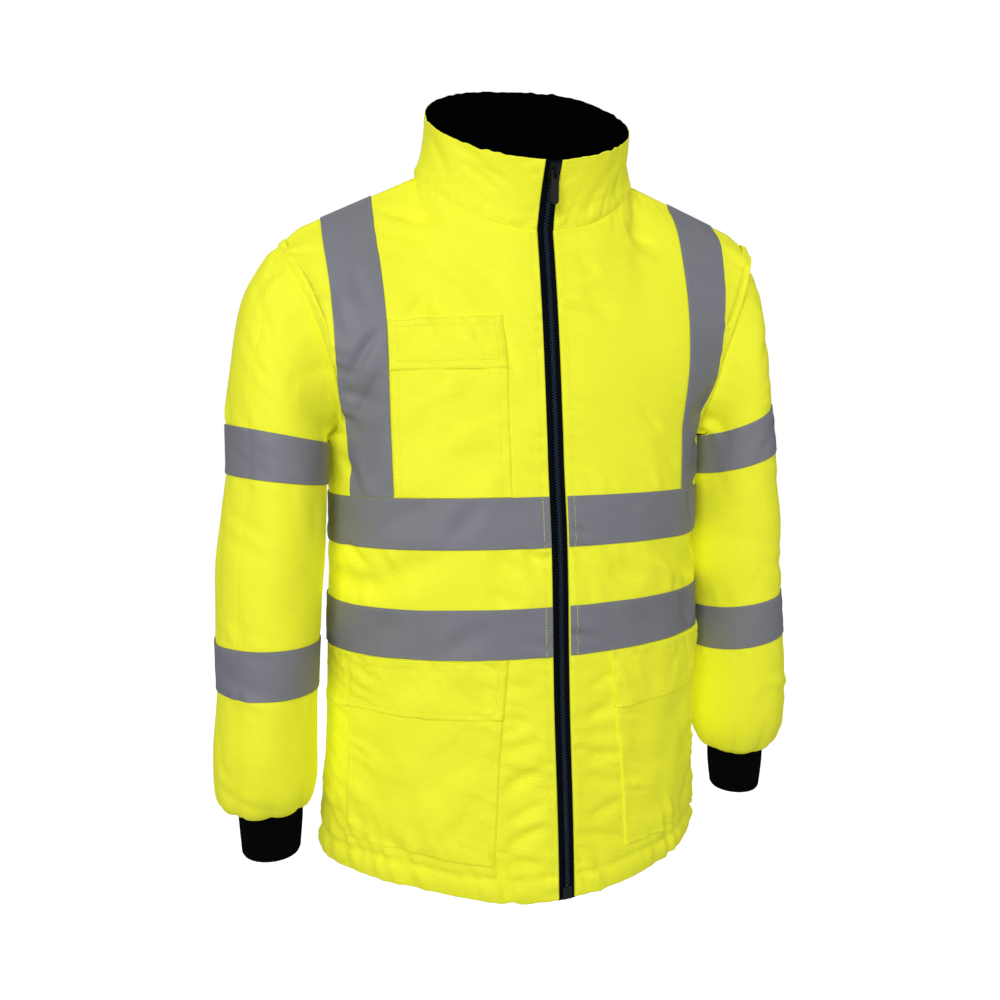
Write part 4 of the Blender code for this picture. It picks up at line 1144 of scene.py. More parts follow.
def add_sheet(name: str, places: Array, across: Array, along_it: Array,
              materials: Sequence[Material], thickness: float, closed: bool = False,
              outward: Array | None = None, dark_rim: bool = False,
              faced: Array | None = None) -> Object:
    """Makes a cloth piece from a grid of places.

    Args:
        name: the piece's name.
        places: grid of places in millimetres, on the outer face.
        across: distance across the cut at each place.
        along_it: distance along the cut.
        materials: outer material, the inner one if it differs, then both of them where it is faced.
        thickness: the cloth's thickness in millimetres.
        closed: whether the first and last line across are the same.
        outward: direction out of the cloth at each place.
        dark_rim: whether the edges take the inner material.
        faced: where a facing of the outer cloth lies inside.

    Returns:
        The piece, with a live wall.
    """
    count_u, count_v = places.shape[:2]
    bm = bmesh.new()
    bmesh.ops.create_grid(bm, x_segments=count_u - 1, y_segments=count_v - 1, size=1.0)
    cut = bm.loops.layers.uv.new("cut")
    order = [np.swapaxes(values, 0, 1).reshape(-1, values.shape[2]).tolist()
             for values in (places * MM, np.stack([across, along_it], axis=2) * MM)]
    for vert, place in zip(bm.verts, order[0]):
        vert.co = place
    bm.verts.index_update()
    for face in bm.faces:
        for loop in face.loops:
            loop[cut].uv = order[1][loop.vert.index]
    if closed:
        bmesh.ops.remove_doubles(bm, verts=bm.verts, dist=1e-6)
    if outward is not None:
        i, j = count_u // 2, count_v // 2
        turn = np.cross(places[i + 1, j] - places[i, j], places[i, j + 1] - places[i, j])
        if float(turn @ outward[i, j]) < 0:
            bmesh.ops.reverse_faces(bm, faces=bm.faces)
    piece = from_bmesh(name, bm, materials)
    wall = piece.modifiers.new("wall", "SOLIDIFY")
    wall.thickness = thickness * MM
    wall.offset = -1.0
    wall.material_offset = 1 if len(materials) > 1 else 0
    wall.material_offset_rim = 1 if dark_rim else 0
    if faced is not None:
        inside = np.swapaxes(faced[:-1, :-1], 0, 1).ravel().tolist()
        for polygon, number in zip(piece.data.polygons, inside):
            polygon.material_index = 2 * int(number)
    return piece


def lay_sheet(name: str, layer: Layer, u_span: Span, v_span: Span,
              materials: Sequence[Material], thickness: float, cell: float = 3.6,
              inset: Sequence[float] = (0.0, 0.0, 0.0, 0.0), roll: Sequence[float] = (0.0, 0.0, 0.0, 0.0),
              middle: Span | None = None, closed: bool = False,
              shape: Shape | None = None, dark_rim: bool = False,
              facing: Callable[[Spot], Array] | None = None) -> Object:
    """Lays a sheet of cloth on a layer between grid lines.

    Args:
        name: the piece's name.
        layer: the layer that it lies on.
        u_span: first and last lengthwise line.
        v_span: first and last crosswise line.
        materials: outer material, then the inner one if it differs.
        thickness: the cloth's thickness.
        cell: distance between the sheet's lines.
        inset: distances by which its four edges stop short.
        roll: radii of its rolled edges.
        middle: grid numbers where distances are measured; the spans' middles if left out.
        closed: whether it closes round.
        shape: last change to the places.
        dark_rim: whether the edges take the inner material.
        facing: says where a facing of the outer cloth lies inside.

    Returns:
        The piece.
    """
    form = layer.form
    mid_u, mid_v = middle or (sum(u_span) / 2, sum(v_span) / 2)
    u0, u1 = (float(form.step(end, mid_v, mm, 0)) for end, mm in zip(u_span, (inset[0], -inset[1])))
    v0, v1 = (float(form.step(mid_u, end, mm, 1)) for end, mm in zip(v_span, (inset[2], -inset[3])))
    u = form.even(0, u0, u1, mid_v, cell, (edge_rows(roll[0])[1:], edge_rows(roll[1])[1:]))
    v = form.even(1, v0, v1, mid_u, cell, (edge_rows(roll[2])[1:], edge_rows(roll[3])[1:]))
    places, normals, spot = layer.at(u[:, None], v[None, :])
    places = rolled(places, normals, roll)
    if shape:
        places = shape(places, normals, spot)
    return add_sheet(name, places, spot.s, spot.t, materials, thickness, closed, normals, dark_rim,
                     facing(spot) if facing else None)


def copies(name: str, template: Mesh, frames: Array, materials: Sequence[Material]) -> Object:
    """Joins many copies of one small shape into a piece.

    Args:
        name: the piece's name.
        template: the small shape, in metres.
        frames: one 4 x 4 matrix for each copy.
        materials: the piece's materials.

    Returns:
        The joined piece.
    """
    count, corners = len(template.vertices), np.zeros(len(template.vertices) * 3)
    template.vertices.foreach_get("co", corners)
    corners = np.concatenate([corners.reshape(-1, 3), np.ones((count, 1))], axis=1)
    placed = np.einsum("nij,mj->nmi", frames, corners)[..., :3].reshape(-1, 3)
    faces = [list(polygon.vertices) for polygon in template.polygons]
    mesh = bpy.data.meshes.new(name)
    all_faces = [[corner + number * count for corner in face]
                 for number in range(len(frames)) for face in faces]
    mesh.from_pydata(placed.tolist(), [], all_faces)
    return put_in_scene(name, mesh, materials)


def frames_along(places: Array, ahead: Array, outward: Array) -> Array:
    """Matrices whose X runs ahead and whose Z points outward, at places in millimetres.

    Args:
        places: places in millimetres.
        ahead: directions ahead, of any length.
        outward: directions out of the cloth.

    Returns:
        One 4 x 4 matrix for each place, in metres.
    """
    x = ahead / np.linalg.norm(ahead, axis=1, keepdims=True)
    z = outward - x * (outward * x).sum(axis=1, keepdims=True)
    z = z / np.linalg.norm(z, axis=1, keepdims=True)
    frames = np.zeros((len(places), 4, 4))
    frames[:, :3, 0], frames[:, :3, 1], frames[:, :3, 2] = x, np.cross(z, x), z
    frames[:, :3, 3], frames[:, 3, 3] = places * MM, 1.0
    return frames


@dataclass
class Stitching:
    """Rows of lockstitch in one thread, gathered and joined into one piece."""

    name: str
    thread: Material
    pitch: float = 3.2
    stitch: float = 2.5
    width: float = 0.62
    height: float = 0.25
    frames: list[Array] = field(default_factory=list)

    def row(self, layer: Layer, u: Any, v: Any, rise: float = 0.12, shape: Shape | None = None) -> None:
        """Sews one row.

        Args:
            layer: the cloth that is sewn.
            u: lengthwise numbers along the row.
            v: crosswise numbers along the row.
            rise: how far the thread's middle stands over the cloth.
            shape: last change to the places, as on the cloth.
        """
        places, normals, spot = layer.at(u, v, rise)
        if shape:
            places = shape(places, normals, spot)
        run = run_along(places)
        count = max(1, int(run[-1] / self.pitch))
        middles = (np.arange(count) + 0.5) * run[-1] / count
        middle, outward = (read_along(run, values, middles) for values in (places, normals))
        start, end = (read_along(run, places, middles + half * self.stitch / 2) for half in (-1, 1))
        self.frames.append(frames_along(middle, end - start + TINY, outward))

    def along_line(self, layer: Layer, axis: int, at: Line, span: Span, away: float,
                   ends: Span = (0.0, 0.0), shape: Shape | None = None) -> None:
        """Sews a row beside a grid line.

        Args:
            layer: the cloth that is sewn.
            axis: 0 where the row runs across, 1 where it runs along.
            at: number of the line that it keeps to.
            span: numbers between which it runs.
            away: distance from that line, positive towards higher numbers.
            ends: distances by which it stops short.
            shape: last change to the places, as on the cloth.
        """
        count = 12 * int(abs(span[1] - span[0]) + 1)
        other = np.linspace(span[0], span[1], count)
        line = np.zeros(count) + number_on(at, other)
        u, v = (other, line) if axis == 0 else (line, other)
        moved = layer.form.step(u, v, away, 1 - axis)
        u, v = (other, moved) if axis == 0 else (moved, other)
        if any(ends):
            run = run_along(layer.form.at(u, v)[0])
            keep = np.linspace(ends[0], run[-1] - ends[1], count)
            u, v = np.interp(keep, run, u), np.interp(keep, run, v)
        self.row(layer, u, v, shape=shape)

    def finish(self) -> Object:
        """Joins all rows into the piece.

        Returns:
            The piece.
        """
        bm = bmesh.new()
        bmesh.ops.create_uvsphere(bm, u_segments=4, v_segments=3, radius=0.5)
        bmesh.ops.rotate(bm, verts=bm.verts, matrix=Matrix.Rotation(math.pi / 2, 3, "Y"))
        size = Vector((self.stitch, self.width * 1.2, self.height * 1.2))
        bmesh.ops.scale(bm, verts=bm.verts, vec=size * MM)
        template = bpy.data.meshes.new(f"{self.name}_stitch")
        bm.to_mesh(template)
        bm.free()
        piece = copies(self.name, template, np.concatenate(self.frames), [self.thread])
        bpy.data.meshes.remove(template)
        return piece


# ---------------------------------------------------------------- finishes

def linear(code: str) -> tuple[float, float, float, float]:
    """Turns an sRGB hex colour into linear light.

    Args:
        code: six hex digits.

    Returns:
        Red, green, blue and an alpha of 1.
    """
    parts = [int(code[at:at + 2], 16) / 255 for at in (0, 2, 4)]
    red, green, blue = (part / 12.92 if part <= 0.04045 else ((part + 0.055) / 1.055) ** 2.4
                        for part in parts)
    return red, green, blue, 1.0


def node(tree: NodeTree, kind: str, links: dict[Any, Any] | None = None, **settings: Any) -> Node:
    """Adds a node.

    Args:
        tree: node tree to add it to.
        kind: the node's type without its ShaderNode prefix.
        links: sockets or values for its inputs, by name or number.
        settings: properties of the node.

    Returns:
        The node.
    """
    made = tree.nodes.new(f"ShaderNode{kind}")
    for key, value in settings.items():
        setattr(made, key, value)
    for key, value in (links or {}).items():
        if isinstance(value, NodeSocket):
            tree.links.new(value, made.inputs[key])
        else:
            made.inputs[key].default_value = value
    return made


def maths(tree: NodeTree, operation: str, *values: Any) -> NodeSocket:
    """Result of a Math node on sockets or numbers."""
    return node(tree, "Math", dict(enumerate(values)), operation=operation).outputs[0]


class Ply(Enum):
    """How a finish's surface is made up."""

    WOVEN = "woven"
    KNIT = "knit"
    NAPPED = "napped"
    BEADED = "beaded"
    TWISTED = "twisted"
    MOULDED = "moulded"
    LACQUERED = "lacquered"


@dataclass(frozen=True)
class Finish:
    """A finish: its colours, gloss, and the size of its surface pattern in millimetres."""

    name: str
    ply: Ply
    colour: str
    # darker colour, mixed in at random and, on woven cloth, as painted shade in the weave's hollows
    shade: str
    roughness: float
    across: float = 1.0
    along: float = 1.0
    relief: float = 0.1
    sheen: float = 0.0
    metallic: float = 0.0
    # strength of a painted light: emission in the finish's own colour that lifts its shade
    glow: float = 0.0
    blotch: float = 60.0
    gloss: float = 0.5

    def build(self) -> Material:
        """Makes the material with its pattern.

        Returns:
            The material.
        """
        material = bpy.data.materials.new(self.name)
        material.use_nodes = True
        material.diffuse_color = linear(self.colour)
        tree = material.node_tree
        shader = tree.nodes["Principled BSDF"]
        for socket, value in (("Roughness", self.roughness), ("Metallic", self.metallic),
                              ("Sheen Weight", self.sheen), ("Sheen Roughness", 0.5),
                              ("Specular IOR Level", self.gloss)):
            shader.inputs[socket].default_value = value
        # painted light: the finish sends out its own colour, which lifts its shaded parts though it is no
        # lamp
        if self.glow:
            shader.inputs["Emission Color"].default_value = linear(self.colour)
            shader.inputs["Emission Strength"].default_value = self.glow
        on_cut = self.ply in (Ply.WOVEN, Ply.KNIT, Ply.NAPPED, Ply.BEADED)
        if on_cut:
            place = node(tree, "UVMap", uv_map="cut").outputs[0]
        else:
            place = node(tree, "TexCoord").outputs["Object"]
        height, hollow_shade_and_tone = self.pattern(tree, place)
        blotch = node(tree, "TexNoise", {"Vector": place, "Scale": 1000 / self.blotch, "Detail": 3.0})
        share = maths(tree, "MULTIPLY", hollow_shade_and_tone, blotch.outputs[0])
        mixed = node(tree, "Mix", {"Factor": share, 6: linear(self.colour), 7: linear(self.shade)},
                     data_type="RGBA")
        tree.links.new(mixed.outputs[2], shader.inputs["Base Color"])
        bump = node(tree, "Bump", {"Height": height, "Distance": self.relief * MM, "Strength": 1.0})
        tree.links.new(bump.outputs[0], shader.inputs["Normal"])
        return material

    def pattern(self, tree: NodeTree, place: NodeSocket) -> tuple[Any, Any]:
        """Height of the surface pattern, and the share of the darker colour: random tone, and on woven cloth
        painted shade in the weave's hollows.

        Args:
            tree: the material's nodes.
            place: coordinates in metres.

        Returns:
            Sockets of the height and of the tint's strength.
        """
        parts = node(tree, "SeparateXYZ", {0: place}).outputs

        def threads(axis: int, length: float, wobble: Any = None) -> Any:
            """Threads that lie side by side along an axis.

            Args:
                axis: 0 for threads across, 1 for those along.
                length: distance between threads.
                wobble: socket that moves them.

            Returns:
                Socket of their height.
            """
            turned = maths(tree, "MULTIPLY", parts[axis], 2 * math.pi / (length * MM))
            if wobble:
                turned = maths(tree, "ADD", turned, wobble)
            return maths(tree, "SINE", turned)

        scale = [1 / (size * MM) for size in (self.across, self.along, self.along)]
        stretched = node(tree, "Mapping", {"Vector": place, "Scale": scale})
        grain = node(tree, "TexNoise",
                     {"Vector": stretched.outputs[0], "Scale": 1.0, "Detail": 2.0}).outputs[0]
        if self.ply is Ply.WOVEN:
            slubs = maths(tree, "MULTIPLY", grain, 7.0)
            weft = threads(1, self.along, slubs)
            warp = threads(0, self.along * 1.1)
            cloth = maths(tree, "MULTIPLY_ADD", warp, 0.35, weft)
            height = maths(tree, "MULTIPLY_ADD", cloth, 0.3, grain)
            # painted shade: the lower the weave, the more of the darker colour
            return height, node(tree, "MapRange", {0: height, 1: 1.0, 2: 0.1, 3: 0.25, 4: 1.0}).outputs[0]
        if self.ply is Ply.BEADED:
            warp, weft = threads(0, self.across), threads(1, self.along)
            cells = maths(tree, "MULTIPLY", warp, weft)
            return maths(tree, "MULTIPLY_ADD", cells, 0.4, grain), grain
        if self.ply is Ply.KNIT:
            loops = threads(1, self.along, maths(tree, "MULTIPLY", grain, 4.0))
            return maths(tree, "MULTIPLY_ADD", loops, 0.5, grain), grain
        fine = node(tree, "TexNoise", {"Vector": stretched.outputs[0], "Scale": 1.0, "Detail": 6.0,
                                       "Roughness": 0.7 if self.ply is Ply.NAPPED else 0.45}).outputs[0]
        return fine, fine


@dataclass
class Wardrobe:
    """All finishes of the jacket, built once."""

    # Plain-woven polyester dyed fluorescent and coated at the back, with a fine crosswise grain; painted
    # light, an emission in its own colour, lifts its shade evenly, and painted shade darkens its weave's
    # hollows; the real threads are 0.25 mm apart and are drawn at 2 mm so that they show
    cloth: Finish = Finish("fluorescent_polyester_woven", Ply.WOVEN, "F6F834", "EBEE28",
                           0.72, 9.0, 2.0, 0.16, 0.0, glow=0.11, gloss=0.3)
    # Silver tape of glass beads on woven cotton: an even matt grey in soft light, with a faint grain
    tape: Finish = Finish("reflective_tape_glass_bead", Ply.BEADED, "83848C", "71727B",
                          0.58, 1.6, 1.6, 0.05, blotch=30.0, gloss=0.38)
    # Rib knit of dyed acrylic: very dark, loops across each rib
    rib: Finish = Finish("black_rib_knit_acrylic", Ply.KNIT, "030508", "010102",
                         1.0, 1.2, 1.7, 0.5, gloss=0.06)
    # Brushed polyester fleece: a soft nap that swallows the light
    fleece: Finish = Finish("black_fleece_brushed", Ply.NAPPED, "010204", "000001",
                            1.0, 1.6, 1.6, 0.9, gloss=0.02)
    # Plain dark taffeta inside the body
    lining: Finish = Finish("black_taffeta_lining", Ply.WOVEN, "08090C", "040506",
                            0.8, 9.0, 1.6, 0.08, gloss=0.15)
    # Navy woven zip tape, herringbone edges too fine to show
    zip_tape: Finish = Finish("navy_zip_tape_woven", Ply.WOVEN, "040A11", "02050A",
                              0.9, 4.0, 1.2, 0.15, gloss=0.08)
    # Moulded acetal teeth with a soft gloss
    tooth: Finish = Finish("navy_acetal_moulded", Ply.MOULDED, "09203A", "051426",
                           0.4, 3.0, 3.0, 0.02, gloss=0.32)
    # The same plastic in black, with the ejector side's faint orange peel
    box: Finish = Finish("black_acetal_moulded", Ply.MOULDED, "090C12", "040609",
                         0.42, 5.0, 5.0, 0.03, gloss=0.4)
    # Die-cast zinc under black lacquer
    metal: Finish = Finish("black_lacquered_zinc", Ply.LACQUERED, "08090B", "040506",
                           0.38, 6.0, 6.0, 0.02, metallic=0.3, gloss=0.4)
    # Spun polyester sewing thread, dyed to the cloth, with the cloth's painted light: an emission that lifts
    # its shade
    thread: Finish = Finish("yellow_sewing_thread", Ply.TWISTED, "EEF232", "DADE28",
                            0.6, 0.8, 0.8, 0.1, 0.1, glow=0.12)
    # The same thread where it crosses the grey tape
    tape_thread: Finish = Finish("grey_sewing_thread", Ply.TWISTED, "A2A4A6", "85878A",
                                 0.6, 0.8, 0.8, 0.1, 0.1)
    built: dict[str, Material] = field(default_factory=dict)

    def __getitem__(self, key: str) -> Material:
        """The material of a named finish."""
        return self.built.get(key) or self.built.setdefault(key, getattr(self, key).build())


# ---------------------------------------------------------------- bookkeeping of the pieces

def mesh_area(piece: Object) -> float:
    """Area of a piece's mesh in square metres, without its wall."""
    return sum(polygon.area for polygon in piece.data.polygons)


class Slot(Enum):
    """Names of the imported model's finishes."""

    CLOTH = "fluorescent_polyester"
    TAPE = "reflective_tape"
    KNIT = "black_rib_knit"
    FLEECE = "black_fleece"
    ZIP_TAPE = "navy_zip_tape"
    ZIP_TEETH = "navy_zip_plastic"


def dress(piece: Object, slot: Slot, *replaces: str) -> None:
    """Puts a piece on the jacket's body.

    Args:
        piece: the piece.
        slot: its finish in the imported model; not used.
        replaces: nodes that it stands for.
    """
    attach(piece, BODY_NAME)
    if replaces:
        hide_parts(*replaces)


def declare(piece: Object, size: Span,
            with_pieces: Sequence[Object] = ()) -> None:
    """Declares a cloth piece with its flat cut.

    Args:
        piece: the cloth.
        size: width and length of the cut in millimetres.
        with_pieces: pieces on it; not used.
    """
    width, length = size
    area = min(mesh_area(piece), width * length * MM * MM)
    LOG.info("%s: cut %.0f x %.0f mm, %.4f m2", piece.name, width, length, area)
    width * MM
    length * MM


# ---------------------------------------------------------------- body, tapes and pockets

FRONT_CREASES = {
    Side.LEFT: creases(
        # chest: below the neck, under the collar, beside the brace
        (100, -40, 150, -62, 9, 3.5), (95, -60, 138, -84, 10, -2.8), (22, -78, 50, -104, 9, 3.2),
        (30, -110, 62, -150, 14, 2.9), (88, -233, 119, -258, 5, 3.5), (105, -268, 150, -300, 9, 2.6),
        (240, -215, 165, -250, 16, 6.1), (222, -255, 176, -290, 8, 3.5),
        (176, -296, 214, -332, 8, 4.3), (168, -322, 186, -374, 8, 4.3),
        # waist: the pinch between the bands and what runs out of it
        (290, -368, 175, -392, 18, 8.8), (96, -374, 214, -428, 15, 7.7),
        (84, -388, 168, -424, 9, -3.6), (45, -395, 95, -412, 14, 3.6),
        (60, -440, 118, -474, 13, 2.7), (150, -436, 186, -478, 12, 4.1),
        # between the zip and the pocket
        (58, -506, 20, -517, 7, 2.8), (59, -537, 15, -549, 9, 4.0), (16, -560, 60, -573, 7, 3.0),
        (60, -594, 14, -590, 9, 3.6, 2), (12, -607, 60, -627, 8, 4.0, -2),
        (61, -643, 16, -652, 9, 3.8), (13, -664, 62, -684, 8, 4.0, 2), (40, -578, 62, -586, 5, -1.6),
        (150, -590, 110, -720, 22, -3.4), (270, -560, 236, -590, 9, 3.2),
        (272, -620, 240, -660, 10, 3.5)),
    Side.RIGHT: creases(
        # shoulder: two troughs from the neck to the brace, then the long slants over the chest
        (-200, -38, -100, -52, 7, 4.9), (-196, -55, -108, -70, 8, 4.2, 3),
        (-186, -76, -120, -88, 10, 2.7), (-115, -64, -30, -134, 15, 4.2, -6),
        (-136, -88, -60, -142, 9, -3.1), (-150, -108, -96, -146, 12, 2.8),
        (-60, -70, -28, -104, 8, 2.7), (-116, -126, -98, -149, 5, 2.8),
        (-116, -127, -136, -149, 5, 2.8), (-44, -150, -30, -215, 7, 2.5),
        # side of the chest and the brace
        (-250, -180, -165, -235, 15, 5.4), (-160, -160, -192, -212, 7, 5.1, 3),
        (-160, -196, -194, -250, 6, 3.5, -3), (-196, -100, -172, -142, 9, 2.4),
        (-206, -128, -184, -176, 7, 2.3), (-218, -236, -184, -262, 7, 3.0),
        (-166, -252, -190, -300, 9, 2.7), (-224, -280, -190, -306, 8, 2.7),
        # waist
        (-262, -400, -160, -418, 14, 5.7), (-222, -370, -186, -394, 7, 6.4),
        (-206, -412, -104, -378, 17, 6.9, 5), (-64, -380, -30, -398, 9, 2.8),
        (-66, -414, -34, -430, 8, 2.7), (-170, -356, -118, -328, 14, 3.1),
        (-104, -364, -66, -326, 12, 3.4), (-214, -480, -150, -440, 14, 3.1),
        (-116, -478, -60, -446, 13, 3.1),
        # between the pocket and the zip: short ones above, then slants from the zip down to the pocket
        (-56, -503, -18, -514, 8, 2.9), (-54, -538, -22, -549, 8, 4.0),
        (-28, -549, -57, -558, 5, 2.6), (-57, -572, -12, -565, 8, 3.5, 2),
        (-57, -583, -14, -592, 6, -2.2), (-10, -594, -56, -617, 9, 5.2, 3),
        (-10, -625, -57, -647, 8, 4.6, -2), (-11, -652, -56, -676, 10, 5.4, 3),
        (-12, -640, -40, -655, 5, -1.8), (-58, -686, -14, -691, 7, 3.6),
        # side of the hip
        (-276, -585, -236, -604, 9, 2.2), (-274, -612, -238, -640, 9, 2.2),
        (-272, -648, -236, -672, 9, 2.1), (-150, -590, -95, -715, 22, -3.4),
        (-60, -560, -30, -640, 16, 3.4))}
BACK_CREASES = creases(
    (-230, -215, -140, -255, 18, 4.5), (230, -210, 140, -262, 18, 4.0),
    (-260, -400, -120, -412, 16, 3.5), (265, -395, 130, -416, 16, 4.0),
    (-60, -560, -80, -720, 24, -3.0), (70, -550, 95, -720, 24, -3.5),
    # shoulders and the neck
    (-190, -40, -90, -30, 9, 2.2, 3), (186, -46, 96, -28, 9, 2.4, -3),
    (-176, -66, -110, -52, 8, 1.7), (-62, -28, -26, -70, 12, 1.6), (60, -30, 20, -84, 13, 1.8),
    (-120, -96, -40, -150, 17, 1.8, 5), (128, -104, 46, -166, 18, 1.9, -5),
    (-216, -120, -180, -190, 8, 2.2), (218, -128, 184, -202, 9, 2.4),
    # waist and small of the back
    (-216, -268, -168, -312, 10, 2.6), (214, -262, 170, -300, 9, 2.4),
    (-110, -250, 30, -286, 20, 2.0, 6), (120, -300, 40, -268, 14, 1.7),
    (-96, -384, 36, -398, 13, 2.4, 4), (130, -380, 24, -420, 15, 2.6, -4),
    (-236, -372, -186, -392, 8, 3.0), (240, -420, 190, -396, 9, 2.8),
    # hips
    (-270, -560, -214, -592, 10, 2.6), (268, -548, 218, -584, 9, 2.6),
    (-268, -626, -220, -650, 9, 2.4), (266, -610, 226, -640, 9, 2.2),
    (-170, -500, -120, -620, 18, 2.0, 6), (150, -500, 190, -600, 17, 1.9),
    (-20, -510, 26, -600, 16, 1.8))
SLEEVE_CREASES = {
    Side.RIGHT: creases(
        (28, -140, 105, -190, 14, 1.9), (40, -100, 118, -148, 10, 1.4),
        (150, -180, 104, -232, 9, 1.4), (66, -320, 84, -424, 15, 1.6, 5),
        (128, -306, 142, -368, 9, 1.4, -3), (20, -318, 26, -440, 8, 1.1),
        (120, -384, 160, -416, 10, 1.9), (96, -420, 150, -446, 9, 1.1),
        (22, -528, 44, -608, 7, 1.4, 3), (96, -540, 120, -602, 12, 1.0),
        (10, -256, 60, -292, 12, 1.1), (-66, -380, -165, -400, 16, 2.5),
        (-33, -170, -110, -210, 14, 2.1), (-40, -430, -140, -452, 13, 1.6),
        (-60, -320, -70, -410, 16, 1.4, 4)),
    Side.LEFT: creases(
        (28, -140, 105, -190, 14, 1.7), (40, -222, 96, -250, 9, 1.0), (64, -250, 104, -296, 6, 1.1),
        (92, -254, 126, -300, 7, 1.1), (118, -262, 156, -298, 6, 1.1),
        (66, -395, 165, -372, 16, 1.5), (98, -318, 116, -404, 7, 1.1, 2),
        (94, -408, 120, -462, 7, 1.3), (44, -330, 58, -440, 14, 1.0), (22, -560, 120, -575, 15, 1.1),
        (86, -534, 104, -604, 10, 1.1), (-66, -380, -165, -400, 16, 2.0),
        (-33, -170, -110, -210, 14, 1.7), (-50, -436, -150, -420, 13, 1.3),
        (-60, -540, -80, -610, 12, 1.0))}
BAG_CREASES = {
    "chest_pocket": creases(
        (-132, -276, -50, -208, 18, 3.1), (-140, -232, -96, -204, 9, 1.7),
        (-110, -316, -52, -284, 14, 1.7)),
    "hip_pocket_left": creases(
        (70, -572, 116, -620, 9, 2.4, 6), (68, -636, 126, -672, 11, 3.1, 5),
        (150, -560, 186, -640, 16, 2.5), (204, -650, 160, -684, 10, 2.5)),
    "hip_pocket_right": creases(
        (-134, -622, -70, -552, 17, 5.9, -4), (-122, -672, -66, -608, 12, 3.6),
        (-112, -580, -72, -546, 7, -2.0), (-212, -566, -176, -640, 14, 2.5, 5),
        (-220, -640, -150, -690, 13, 2.8), (-206, -560, -150, -600, 12, 1.7))}
LID_CREASES = {
    "chest_pocket": creases(
        (-140, -164, -70, -188, 6, 2.2, 9), (-124, -158, -62, -192, 5, 2.0, 9),
        (-142, -180, -94, -198, 5, 2.0, 5), (-100, -160, -50, -176, 8, 1.7, 5),
        (-80, -178, -54, -197, 5, 1.6, 4)),
    "hip_pocket_left": creases(
        (96, -486, 104, -540, 10, 1.6), (136, -488, 128, -540, 12, 2.1),
        (186, -490, 168, -532, 10, 1.7), (232, -486, 240, -540, 12, 1.8)),
    "hip_pocket_right": creases(
        (-222, -496, -186, -545, 10, 2.9), (-142, -500, -136, -548, 12, 1.7),
        (-110, -488, -88, -546, 11, 2.0), (-72, -500, -62, -540, 7, 1.7))}
COLLAR_CREASES = creases(
    (-272, 36, -236, 44, 6, 2.0, -3), (-262, 26, -214, 40, 7, 2.1, -4), (-250, 50, -196, 58, 9, 1.7),
    (-206, 20, -168, 46, 9, 2.0), (282, 10, 246, 22, 5, 1.3, 3), (276, 20, 236, 34, 6, 1.3, 3),
    (226, 8, 210, 40, 6, 1.7), (262, 36, 220, 52, 8, 1.0), (196, 26, 160, 48, 9, 1.3),
    (-130, 24, -80, 50, 11, 2.2), (120, 22, 70, 56, 11, 1.3), (-40, 18, 16, 36, 10, 2.1, 4),
    (30, 60, 84, 84, 12, 1.1))


def panels() -> list[tuple[str, int]]:
    """Each panel's name and its last lengthwise line."""
    return [("front_left", column("side")), ("front_right", column("side")), ("back", 2 * column("side"))]


def at_ends(panel: str, seam: float, opening: float) -> Span:
    """A value for each end of a panel, which is a seam or the zip's opening."""
    return {"front_left": (opening, seam), "front_right": (seam, opening)}.get(panel, (seam, seam))


